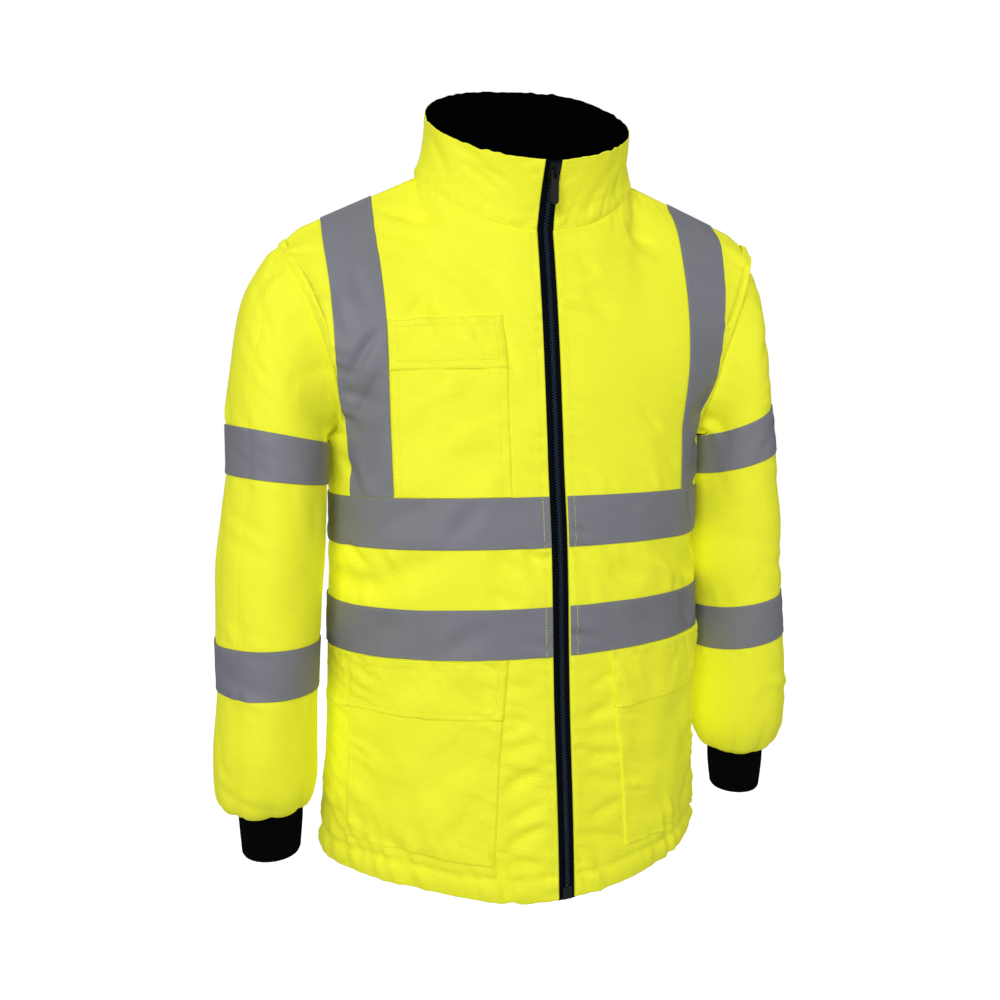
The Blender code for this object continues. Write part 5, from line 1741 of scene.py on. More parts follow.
@dataclass
class BodyCloth:
    """The two fronts and the back, with their relief."""

    forms: JacketForms
    wardrobe: Wardrobe
    thickness: float = 1.4
    cell: float = 3.5
    seam_gap: float = 0.15
    seam_roll: float = 1.0
    zip_roll: float = 1.5
    hem_roll: float = 2.4
    hem_fold: float = 24.0
    hem_rows: Span = (-1.6, 1.6)
    topstitch: float = 8.0
    zip_rows: Span = (-1.0, 1.0)
    seam_row: float = 7.0
    middle_line: float = 12.0
    facing: float = 18.0
    facing_from: float = 90.0
    layers: dict[str, Layer] = field(default_factory=dict)

    def __post_init__(self) -> None:
        """Settles the relief of each panel."""
        side, top = column("side"), level("top")
        for arm, form in ((Side.LEFT, self.forms.left), (Side.RIGHT, self.forms.right)):
            zip_u, side_u = (0, side) if arm is Side.LEFT else (side, 0)
            seed = 10 if arm is Side.LEFT else 40
            rows = [Puckers(0, zip_u, (-1, top + 1), 1.3, 26.0, 21.0, seed),
                    self.side_seam(side_u, seed + 1), self.armhole_seam(side_u, seed + 2),
                    *self.pocket_puckers(arm, seed + 5)]
            rows += self.shared_puckers(side, seed + 20)
            pins = (Pin(0, side_u, 9.0), Pin(0, zip_u, 5.0), Pin(1, top, 7.0))
            relief = Relief(FRONT_CREASES[arm], rows, pins, 0.5, 80.0, seed)
            self.layers[f"front_{arm.label}"] = Layer(form, 0.0, (relief,))
        rows = [self.side_seam(u, 70 + u) for u in (0, 2 * side)]
        rows += [self.armhole_seam(u, 75 + u) for u in (0, 2 * side)]
        rows += self.shared_puckers(2 * side, 90)
        pins = (Pin(0, 0, 9.0), Pin(0, 2 * side, 9.0), Pin(1, top, 7.0))
        relief = Relief(BACK_CREASES, rows, pins, 0.7, 105.0, 5, sign=-1.0)
        self.layers["back"] = Layer(self.forms.back, 0.0, (relief,))

    def side_seam(self, u: int, seed: int) -> Puckers:
        """Puckers of the side seam at a lengthwise line."""
        return Puckers(0, u, (-1, level("underarm")), 1.1, 32.0, 29.0, seed, groove=1.0)

    def armhole_seam(self, u: int, seed: int) -> Puckers:
        """Puckers of the armhole's seam at a lengthwise line."""
        return Puckers(0, u, (level("underarm"), level("top") + 1), 1.4, 26.0, 21.0, seed)

    def shared_puckers(self, last: int, seed: int) -> list[Puckers]:
        """Puckers at the hem, at the tapes and under the neck, on a panel with this last line.

        Args:
            last: the panel's last lengthwise line.
            seed: picks the waves.

        Returns:
            Rows of puckers.
        """
        span = (-1, last + 1)
        rows = [Puckers(1, 0, span, 2.9, 24.0, 25.0, seed, groove=2.7, shift=self.hem_fold, width=2.2),
                Puckers(1, 0, span, 0.0, 20.0, 25.0, seed, groove=-1.8, shift=self.hem_fold / 2,
                        width=8.0),
                Puckers(1, level("top"), span, 0.8, 24.0, 21.0, seed + 1)]
        for number, (name, sides) in enumerate((("lower_band", (1, 0)), ("lower_band_top", (0, 1)),
                                                ("upper_band", (1, 0)), ("upper_band_top", (0, 1)))):
            rows.append(Puckers(1, level(name), span, 1.2, 26.0, 30.0, seed + 2 + number, sides))
        return rows

    def pocket_puckers(self, arm: Side, seed: int) -> list[Puckers]:
        """Puckers of a front along its lower pocket.

        Args:
            arm: the front's side.
            seed: picks the waves.

        Returns:
            Rows of puckers.
        """
        side = column("side")
        span = (level("pocket_base"), level("lower_band"))
        inner, outer = column("pocket_in"), column("brace_out")
        if arm is Side.RIGHT:
            inner, outer = side - inner, side - outer
        towards_zip = (1, 0) if arm is Side.LEFT else (0, 1)
        return [Puckers(0, inner, span, 1.0, 22.0, 15.0, seed, towards_zip, 0.8),
                Puckers(0, outer, span, 1.2, 24.0, 25.0, seed + 1, towards_zip[::-1], 0.6),
                Puckers(1, span[0], tuple(sorted((inner, outer))), 1.4, 20.0, 24.0, seed + 2, (1, 0))]

    def is_faced(self, spot: Spot) -> Array:
        """Whether a place lies on the hem's turning or on the facing of an armhole.

        Args:
            spot: places on a panel.

        Returns:
            True where the outer cloth lies inside as well.
        """
        ends = np.minimum(np.abs(spot.s - spot.s[:1]), np.abs(spot.s - spot.s[-1:]))
        high = spot.v > level("underarm") - 0.5
        at_arm = (ends < self.facing) & high & (np.abs(spot.s) > self.facing_from)
        return at_arm | (spot.t < self.hem_fold)

    def build(self) -> None:
        """Builds the panels and the stitching along their edges."""
        top, outer = level("top"), self.wardrobe["cloth"]
        materials = [outer, self.wardrobe["lining"], outer, outer]
        sewing = Stitching("edge_topstitching", self.wardrobe["thread"])
        pieces = {}
        for name, last in panels():
            layer = self.layers[name]
            gap = at_ends(name, self.seam_gap, 0.0)
            roll = at_ends(name, self.seam_roll, self.zip_roll)
            pieces[name] = lay_sheet(
                f"{name}_cloth", layer, (0, last), (0, top), materials, self.thickness, self.cell,
                (*gap, 0, 0), (*roll, self.hem_roll, 0), (last / 2, self.middle_line),
                facing=self.is_faced)
            for row in self.hem_rows:
                sewing.along_line(layer, 0, 0, (0, last), self.hem_fold + row, (4, 4))
            for u, inward, opening in zip((0, last), (1, -1), at_ends(name, False, True)):
                if opening:
                    for row in self.zip_rows:
                        sewing.along_line(layer, 1, u, (0, top), inward * (self.topstitch + row), (3, 3))
                else:
                    sewing.along_line(layer, 1, u, (level("underarm"), top), inward * self.seam_row,
                                      (4, 6))
        stitches = sewing.finish()
        dress(stitches, Slot.CLOTH)
        for name, piece in pieces.items():
            dress(piece, Slot.CLOTH, name)
            declare(piece, self.layers[name].form.flat_size((0.0, 0.0)),
                    with_pieces=[stitches] if name == "back" else [])


@dataclass
class BodyTapes:
    """Reflective tapes round the body and over the shoulders."""

    cloth: BodyCloth
    wardrobe: Wardrobe
    lift: float = 1.35
    thickness: float = 0.7
    stitch_in: float = 2.6
    seam_gap: float = 0.15
    band_end: float = 1.0
    brace_end: float = 0.4
    edge_roll: float = 0.5
    cross_pitch: float = 2.9
    cross_stitch: float = 2.3
    spare: Span = (4.0, 2.0)

    def build(self) -> None:
        """Builds each length of tape and its stitching."""
        side, top = column("side"), level("top")
        inner, outer = column("brace_in"), column("brace_out")
        sewing = Stitching("tape_stitching", self.wardrobe["tape_thread"], width=TAPE_THREAD)
        crossing = Stitching("zip_row_on_tapes", self.wardrobe["thread"], self.cross_pitch,
                             stitch=self.cross_stitch)
        spans = {}
        for label in ("upper", "lower"):
            levels = (level(f"{label}_band"), level(f"{label}_band_top"))
            for name, last in panels():
                spans[f"{label}_band_{name}"] = (name, (0, last), levels)
        levels = (level("upper_band_top"), top)
        spans["brace_front_left"] = ("front_left", (inner, outer), levels)
        spans["brace_front_right"] = ("front_right", (side - outer, side - inner), levels)
        spans["brace_back_left"] = ("back", (side - outer, side - inner), levels)
        spans["brace_back_right"] = ("back", (side + inner, side + outer), levels)
        pieces = {}
        for name, (panel, u_span, v_span) in spans.items():
            under = self.cloth.layers[panel]
            layer = Layer(under.form, self.lift, under.reliefs)
            brace = name.startswith("brace")
            gaps = ((0, 0, self.brace_end, self.seam_gap) if brace
                    else (*at_ends(panel, self.seam_gap, self.band_end), 0, 0))
            pieces[name] = lay_sheet(
                f"{name}_tape", layer, u_span, v_span, [self.wardrobe["tape"]], self.thickness,
                inset=gaps, roll=(self.edge_roll,) * 4)
            for edge, sign in zip(u_span if brace else v_span, (1, -1)):
                axis, span = (1, v_span) if brace else (0, u_span)
                sewing.along_line(layer, axis, edge, span, sign * self.stitch_in, (2, 2))
            if not brace and panel != "back":
                zip_u, inward = (0, 1) if panel == "front_left" else (side, -1)
                crossing.along_line(layer, 1, zip_u, v_span, inward * self.cloth.topstitch, (0.5, 0.5))
            dress(pieces[name], Slot.TAPE, name)
        stitches = sewing.finish()
        dress(stitches, Slot.TAPE)
        dress(crossing.finish(), Slot.CLOTH)
        for name, (panel, u_span, v_span) in spans.items():
            size = self.cloth.layers[panel].form.flat_size(self.spare, u_span, v_span)
            declare(pieces[name], size,
                    [stitches] if name == "upper_band_back" else [])


class PocketPlace(NamedTuple):
    """Where a patch pocket and its flap lie on a panel."""

    name: str
    panel: str
    u_span: tuple[int, int]
    lid_span: tuple[int, int]
    base: str
    flap: str
    top: str
    bag: Relief
    lid: Relief
    top_tilt: Span = (0.0, 0.0)
    top_sag: float = 0.0

    def tilted(self, places: Array, normals: Array, spot: Spot) -> Array:
        """Raises the flap's top edge by an amount at each end and takes the bow out of its middle.

        Args:
            places: the flap's places.
            normals: their outward directions.
            spot: their spots.

        Returns:
            The moved places.
        """
        across = (spot.u - self.lid_span[0]) / (self.lid_span[1] - self.lid_span[0])
        start, end = self.top_tilt
        rise = start * (1 - across) + end * across - 4 * self.top_sag * across * (1 - across)
        rise = rise * ease(spot.v, level(self.flap), level(self.top))
        flat = np.zeros_like(rise)
        return places + np.stack([flat, flat, rise], axis=-1)


@dataclass
class PatchPockets:
    """Chest pocket and two lower pockets, each a bag and a flap."""

    cloth: BodyCloth
    wardrobe: Wardrobe
    bag_lift: float = 1.6
    flap_lift: float = 3.2
    thickness: float = 1.0
    bag_cell: float = 3.4
    lid_cell: float = 3.0
    rows: Span = (2.2, 8.6)
    lid_to_side: float = 14.0
    tape_gap: float = 0.3
    edge_roll: float = 1.6
    base_roll: float = 0.6
    lid_roll: Span = (1.8, 1.2)
    lid_clearance: float = 0.6
    row_end: float = 0.6
    spare: Span = (4.0, 4.0)

    def places(self) -> list[PocketPlace]:
        """The three pockets with their relief.

        Returns:
            One place for each pocket.
        """
        side = column("side")
        inner, outer, chest = column("pocket_in"), column("brace_out"), column("brace_in")

        def bag(name: str, u0: int, u1: int, seed: int, puff: float) -> Relief:
            """Relief of a lower bag sewn down at its sides and base.

            Args:
                name: the pocket.
                u0: its first lengthwise line.
                u1: its last one.
                seed: picks the waves.
                puff: how far its middle stands out.

            Returns:
                The bag's relief.
            """
            rows = [Puckers(0, u, (), 1.5, 20.0, 17.0, seed + u, groove=0.5, shift=9.0 * inward)
                    for u, inward in ((u0, 1), (u1, -1))]
            rows.append(Puckers(1, level("pocket_base"), (), 1.6, 20.0, 22.0, seed + 2, groove=0.6,
                                shift=9.0))
            pins = (Pin(0, u0, 7.0), Pin(0, u1, 7.0), Pin(1, level("pocket_base"), 7.0))
            middle = math.copysign(145.0, BAG_CREASES[name][0].s0)
            swollen = Crease(middle, -480.0, middle, -720.0, 75.0, -puff)
            return Relief((*BAG_CREASES[name], swollen), rows, pins, 0.7, 55.0, seed)

        def lid(name: str, top: str, seed: int) -> Relief:
            """Relief of a flap that hangs free below its sewn top."""
            rows = (Puckers(1, level(top), (), 1.1, 24.0, 19.0, seed, groove=0.8, shift=-9.5),)
            return Relief(LID_CREASES[name], rows, (), 0.6, 42.0, seed)

        chest_span = (side - chest, side - inner)
        hip_levels = ("pocket_base", "pocket_flap", "lower_band")
        chest_bag = Relief(
            BAG_CREASES["chest_pocket"], (Puckers(0, side - inner, (), 1.0, 20.0, 22.0, 7),),
            [Pin(0, u, 8.0) for u in chest_span], 0.8, 60.0, 3)
        return [
            PocketPlace("chest_pocket", "front_right", chest_span, chest_span, "upper_band_top",
                        "chest_flap", "yoke", chest_bag, lid("chest_pocket", "yoke", 21),
                        (-1.0, 4.5), 3.6),
            *(PocketPlace(name, panel, (u0, u1), lid_span, *hip_levels, bag(name, u0, u1, seed, 2.2),
                          lid(name, "lower_band", lid_seed))
              for name, panel, u0, u1, lid_span, seed, lid_seed in (
                  ("hip_pocket_left", "front_left", inner, outer, (inner, side), 110, 22),
                  ("hip_pocket_right", "front_right", side - outer, side - inner, (0, side - inner),
                   130, 23)))]

    def build(self) -> None:
        """Builds each bag and flap with its stitching."""
        materials = [self.wardrobe["cloth"]]
        sewing = Stitching("pocket_topstitching", self.wardrobe["thread"])
        made = []
        for place in self.places():
            under = self.cloth.layers[place.panel]
            bag = Layer(under.form, self.bag_lift, under.reliefs, place.bag)
            floor = self.bag_lift + self.lid_clearance
            lid = Layer(under.form, self.flap_lift, (*under.reliefs, place.bag), place.lid, floor)
            base, flap, top = (level(name) for name in (place.base, place.flap, place.top))
            chest, roll = place.name == "chest_pocket", self.edge_roll
            gap = self.tape_gap if chest else 0.0
            lid_gap = ((gap, 0.0) if chest
                       else [self.lid_to_side * (end in (0, column("side"))) for end in place.lid_span])
            bag_piece = lay_sheet(
                f"{place.name}_bag", bag, place.u_span, (base, flap + 1), materials, self.thickness,
                self.bag_cell, (gap, 0, gap, 0), (roll, roll, self.base_roll if chest else roll, 0))
            lid_piece = lay_sheet(
                f"{place.name}_lid", lid, place.lid_span, (flap, top), materials, self.thickness,
                self.lid_cell, (*lid_gap, 0, self.tape_gap), (roll, roll, *self.lid_roll),
                shape=place.tilted)
            for away in self.rows:
                ends = tuple(away + end for end in lid_gap)
                for u, sign in zip(place.u_span, (1, -1)):
                    sewing.along_line(bag, 1, u, (base, flap + self.row_end), sign * away,
                                      (2 if chest else away, 0))
                if not chest:
                    sewing.along_line(bag, 0, base, place.u_span, away, (away, away))
                for u, inward in zip(place.lid_span, (ends[0], -ends[1])):
                    sewing.along_line(lid, 1, u, (flap, top), inward, (away, 1), place.tilted)
                sewing.along_line(lid, 0, flap, place.lid_span, away, ends, place.tilted)
                sewing.along_line(lid, 0, top, place.lid_span, -away, tuple(end + 2 for end in lid_gap),
                                  place.tilted)
            made.append((place, bag_piece, lid_piece))
        stitches = sewing.finish()
        dress(stitches, Slot.CLOTH)
        for place, *pair in made:
            base, flap, top = (level(name) for name in (place.base, place.flap, place.top))
            for piece, u_span, v_span, replaced in (
                    (pair[0], place.u_span, (base, flap + 1), place.name),
                    (pair[1], place.lid_span, (flap, top), f"{place.name}_flap")):
                dress(piece, Slot.CLOTH, replaced)
                size = self.cloth.layers[place.panel].form.flat_size(self.spare, u_span, v_span)
                declare(piece, size,
                        [stitches] if piece is made[0][1] else [])


# ---------------------------------------------------------------- collar

@dataclass
class StandCollar:
    """The stand collar and its fleece lining."""

    forms: JacketForms
    wardrobe: Wardrobe
    thickness: float = 2.0
    cell: float = 2.8
    end_roll: float = 1.5
    rim_roll: float = 0.7
    tuck: float = 4.5
    edge_step: float = 0.5
    lining_lift: float = -2.2
    lining_step: float = 0.2
    lining_thickness: float = 1.6
    lining_cell: float = 3.2
    lining_end_roll: float = 0.6
    lining_rim_roll: float = 0.8
    rim_wave: float = 0.7
    wave_length: float = 19.0
    wave_seed: int = 77
    foot_lap: float = 0.4
    foot_slope: float = 0.45
    stitch_in: float = 7.0
    spare: Span = (6.0, 4.0)

    def __post_init__(self) -> None:
        """Settles the collar's relief."""
        last, top = self.forms.collar.shape[0] - 1, self.forms.collar_cells
        rows = (Puckers(1, 0, (), 0.7, 26.0, 19.0, 201, (0, 1)), Puckers(0, 0, (), 0.9, 22.0, 19.0, 202),
                Puckers(0, last, (), 0.6, 22.0, 19.0, 203), Puckers(1, top, (), 0.3, 14.0, 24.0, 204),
                Puckers(1, 0, (), 0.0, 20.0, 20.0, 205, groove=-1.2, shift=7.0, width=6.0))
        pins = (Pin(1, 0, 3.0), Pin(0, 0, 4.0), Pin(0, last, 4.0))
        self.relief = Relief(COLLAR_CREASES, rows, pins, 0.45, 50.0, 9, second="t")
        self.layer = Layer(self.forms.collar, 0.0, (self.relief,))

    def wave(self, places: Array, normals: Array, spot: Spot) -> Array:
        """Lets the rim rise and fall a little along its run, and tucks the foot under the panels' edge.

        Args:
            places: the collar's places.
            normals: their outward directions.
            spot: their spots.

        Returns:
            The moved places.
        """
        top = self.forms.collar_cells
        lift = self.rim_wave * uneven_wave(spot.s, self.wave_length, self.wave_seed)
        lift = lift * ease(spot.v, top - 1.1, top)
        below = np.clip(-spot.t, 0.0, None)
        lap = self.foot_lap * (1 - ease(spot.t, 0.0, self.tuck)) - self.foot_slope * below
        flat = np.zeros_like(lift)
        return places + normals * lap[..., None] + np.stack([flat, flat, lift], axis=-1)

    def build(self) -> None:
        """Builds the collar cloth, its stitching and the lining."""
        last, top = self.forms.collar.shape[0] - 1, self.forms.collar_cells
        inset = (self.edge_step, self.edge_step, -self.tuck)
        cloth = lay_sheet(
            "collar_cloth", self.layer, (0, last), (0, top),
            [self.wardrobe["cloth"], self.wardrobe["fleece"]], self.thickness, self.cell,
            (*inset, 0), (self.end_roll, self.end_roll, 0, self.rim_roll),
            shape=self.wave, dark_rim=True)
        inside = Layer(self.forms.collar, self.lining_lift, (self.relief,))
        lining = lay_sheet(
            "collar_fleece", inside, (0, last), (0, top), [self.wardrobe["fleece"]],
            self.lining_thickness, self.lining_cell, (*inset, self.lining_step),
            (self.lining_end_roll, self.lining_end_roll, 0, self.lining_rim_roll), shape=self.wave)
        sewing = Stitching("collar_topstitching", self.wardrobe["thread"])
        for u, sign in ((0, 1), (last, -1)):
            sewing.along_line(self.layer, 1, u, (0, top), sign * self.stitch_in, (3, 4))
        stitches = sewing.finish()
        dress(stitches, Slot.CLOTH)
        size = self.forms.collar.flat_size(self.spare)
        dress(cloth, Slot.CLOTH, "collar")
        declare(cloth, size, [stitches])
        dress(lining, Slot.FLEECE, "collar_lining")
        declare(lining, size)


# ---------------------------------------------------------------- sleeves and cuffs

@dataclass(frozen=True)
class Gathers:
    """Puffed lobes between narrow creases where a sleeve is drawn in to its cuff."""

    count: int = 10
    depth: float = 2.1
    seed: int = 3

    def depth_at(self, form: Form, spot: Spot) -> Array:
        """Depth of the gathers; negative where a lobe stands out.

        Args:
            form: the sleeve.
            spot: places on it.

        Returns:
            Depths in millimetres.
        """
        low, mid, high, end = (sleeve_line(name) for name in ("low_band", "gather", "fold", "cuff_seam"))
        turn = 2 * math.pi * spot.u / (form.shape[0] - 1)
        rng = np.random.default_rng(self.seed)
        wobble = sum(rng.uniform(0.1, 0.35) * np.sin(k * turn + rng.uniform(0, PHASES)) for k in (2, 3, 5))
        phase = self.count * turn / 2 + wobble + 0.25 * np.sin(2 * turn) * (spot.v - mid)
        lobes = 2 * np.sqrt(np.abs(np.cos(phase)) + 0.004) - 1.25
        swell = 1 + 0.3 * np.sin(3 * turn + rng.uniform(0, PHASES))
        strength = ease(spot.v, low + 0.9, high) * (1 - 0.75 * ease(spot.v, high, end))
        reach = 0.5 + 0.5 * np.sin(7 * turn + rng.uniform(0, PHASES))
        early = ease(spot.v, mid - 0.8 - reach, high)
        return -self.depth * lobes * strength * swell * early


@dataclass
class Sleeves:
    """Both sleeves, their tapes and their rib cuffs."""

    forms: JacketForms
    wardrobe: Wardrobe
    thickness: float = 1.4
    cell: float = 3.7
    tape_lift: float = 1.35
    tape_thickness: float = 0.7
    stitch_in: float = 2.6
    front_seam: Span = (0.65, 4.55)
    seam_turn: Span = (0.6, 3.5)
    back_seam: int = 19
    cuff_ribs: int = 62
    rib_points: int = 6
    rib_height: float = 1.1
    rib_knit: float = 1.6
    cuff_start: float = -640.0
    cuff_shows: float = -642.5
    cuff_rim: float = -690.0
    rim_steps: tuple[float, ...] = (1.6, 2.6, 3.0)
    rim_turn: float = 0.9
    seam_pull: Span = (1.6, 6.0)
    cuff: Table = Table("outer_x inner_x z half_depth", (308.5, 244.0, -642.5, 31.5),
                        (307.5, 245.0, -660.0, 31.0), (305.5, 248.0, -693.0, 28.5))
    centre_y: float = -24.0
    cuff_height: float = 56.0
    under_panel: float = 0.2
    end_roll: float = 1.5
    tape_roll: float = 0.5
    seam_row: float = 2.0
    spare: Span = (8.0, 0.0)
    tape_spare: Span = (12.0, 2.0)

    def outer_seam(self, arm: Side, v: Array) -> Array:
        """Lengthwise number of the outer seam, which starts near the shoulder's tip."""
        first, last = self.front_seam
        return self.mirrored(arm, first + (last - first) * ease(v, *self.seam_turn))

    def mirrored(self, arm: Side, number: Any) -> Any:
        """A lengthwise number of the left sleeve, or its mirrored one on the right."""
        return number if arm is Side.LEFT else self.forms.sleeve_around - number

    def seated(self, places: Array, normals: Array, spot: Spot) -> Array:
        """Spreads the sleeve's hidden start until it meets the panel over it.

        Args:
            places: the sleeve's places.
            normals: their outward directions.
            spot: their spots.

        Returns:
            The moved places.
        """
        crown = np.clip(np.cos(2 * math.pi * spot.u / self.forms.sleeve_around), 0.0, None) ** 2
        out = self.forms.lip_step + self.forms.lip_crown * crown - self.under_panel
        return places + normals * (out * (1 - ease(spot.v, 0.1, 0.75)))[..., None]

    def layer(self, arm: Side) -> Layer:
        """A sleeve's cloth with its relief.

        Args:
            arm: the arm that it is on.

        Returns:
            The layer.
        """
        outer, back = partial(self.outer_seam, arm), self.mirrored(arm, self.back_seam)
        seed = 300 if arm is Side.LEFT else 340
        rows: list[Any] = [Puckers(0, outer, (), 0.8, 30.0, 31.0, seed, groove=1.3),
                           Puckers(0, back, (), 0.9, 30.0, 31.0, seed + 1, groove=1.3),
                           Puckers(1, 1, (), 1.3, 40.0, 34.0, seed + 2, (0, 1)), Gathers(seed=seed + 3)]
        rows += [Puckers(1, sleeve_line(name), (), 0.8, 26.0, 31.0, seed + 4 + number, sides)
                 for number, (name, sides) in enumerate(zip(
                     ("high_band_top", "high_band", "low_band_top", "low_band"), ((1, 0), (0, 1)) * 2))]
        relief = Relief(SLEEVE_CREASES[arm], rows, (), 0.4, 90.0, seed, sign=float(arm.sign))
        return Layer(self.forms.sleeves[arm], 0.0, (relief,))

    def build(self) -> None:
        """Builds both arms."""
        for arm in Side:
            name, layer = f"sleeve_{arm.label}", self.layer(arm)
            start = self.mirrored(arm, self.back_seam)
            span = (start - self.forms.sleeve_around, start)
            cloth = lay_sheet(
                f"{name}_cloth", layer, span, (0, sleeve_line("cuff_seam")),
                [self.wardrobe["cloth"], self.wardrobe["lining"]], self.thickness, self.cell,
                roll=(0, 0, 0, self.end_roll), middle=(0, 10), closed=True, shape=self.seated)
            sewing = Stitching(f"{name}_stitching", self.wardrobe["thread"])
            sewing.along_line(layer, 1, partial(self.outer_seam, arm), (1, sleeve_line("gather")),
                              self.seam_row)
            tape = Layer(layer.form, self.tape_lift, layer.reliefs)
            tape_sewing = Stitching(f"{name}_tape_stitching", self.wardrobe["tape_thread"], width=TAPE_THREAD)
            tapes = []
            for label, line in (("upper", "high_band"), ("lower", "low_band")):
                levels = (sleeve_line(f"{line}_top"), sleeve_line(line))
                piece = lay_sheet(
                    f"{label}_sleeve_band_{arm.label}_tape", tape, span, levels, [self.wardrobe["tape"]],
                    self.tape_thickness, roll=(0, 0, self.tape_roll, self.tape_roll), closed=True)
                for edge, sign in zip(levels, (1, -1)):
                    tape_sewing.along_line(tape, 0, edge, span, sign * self.stitch_in)
                dress(piece, Slot.TAPE, f"{label}_sleeve_band_{arm.label}")
                tapes.append((piece, levels))
            stitches, tape_stitches = sewing.finish(), tape_sewing.finish()
            dress(stitches, Slot.CLOTH)
            dress(tape_stitches, Slot.TAPE)
            dress(cloth, Slot.CLOTH, f"{name}_front", f"{name}_back")
            declare(cloth, layer.form.flat_size(self.spare), with_pieces=[stitches])
            for piece, levels in tapes:
                size = layer.form.flat_size(self.tape_spare, v_span=levels)
                declare(piece, size, [tape_stitches] if piece is tapes[0][0] else [])
            self.build_cuff(arm)

    def build_cuff(self, arm: Side) -> None:
        """Builds one rib-knit cuff.

        Args:
            arm: the arm that it is on.
        """
        count, hang = self.cuff_ribs * self.rib_points, arm.hang
        angle = np.linspace(0.0, 2 * math.pi, count + 1)
        rim_rows = self.cuff_rim - np.array(self.rim_steps)
        knit_rows = np.linspace(self.cuff_shows, self.cuff_rim, 22)
        heights = np.concatenate([[self.cuff_start], knit_rows, rim_rows])
        outer, inner, depth = (smooth_curve(-self.cuff.z, getattr(self.cuff, name), -heights)
                               for name in ("outer_x", "inner_x", "half_depth"))
        rng = np.random.default_rng(11 + arm.sign)
        phase = self.cuff_ribs * angle + 0.5 * np.sin(3 * angle + 1) + 0.4 * np.sin(5 * angle)
        ribs = self.rib_height * (np.abs(np.cos(phase / 2)) ** 0.7 - 0.35)
        rows = []
        for number, z in enumerate(heights):
            middle = (outer[number] + inner[number]) / 2 + hang.end_out
            radius = (outer[number] - inner[number]) / 2
            sag = 0.5 * np.sin(2 * angle + rng.uniform(0, 0.3)) * math.sin(number / 6)
            pull = self.seam_pull[0] * max(0.0, 1 - abs(z - self.cuff_start) / self.seam_pull[1])
            rim = self.rim_turn * ease(-z, -self.cuff_rim, -rim_rows[-1])
            out = ribs * (1 - 0.5 * ease(-z, 0.5 - self.cuff_rim, -rim_rows[-1])) + sag - pull - rim
            rows.append(np.stack([middle + (radius + out) * np.cos(angle),
                                  self.centre_y - (depth[number] + out) * np.sin(angle),
                                  np.full(count + 1, z - hang.end_drop)], axis=1))
        places = np.stack(rows, axis=1)
        if arm is Side.RIGHT:
            places = places[::-1] * (-1.0, 1.0, 1.0)
        places = self.forms.pose.place(places, with_hem=False)
        across, up = run_along(places), np.repeat(-heights[None], count + 1, axis=0)
        outward = places - places.mean(axis=0, keepdims=True)
        piece = add_sheet(f"cuff_{arm.label}_rib", places, across, up, [self.wardrobe["rib"]], self.rib_knit,
                          closed=True, outward=outward)
        dress(piece, Slot.KNIT, f"cuff_{arm.label}")
        declare(piece, (float(across[-1].max()) + 4, self.cuff_height))


# ---------------------------------------------------------------- zip

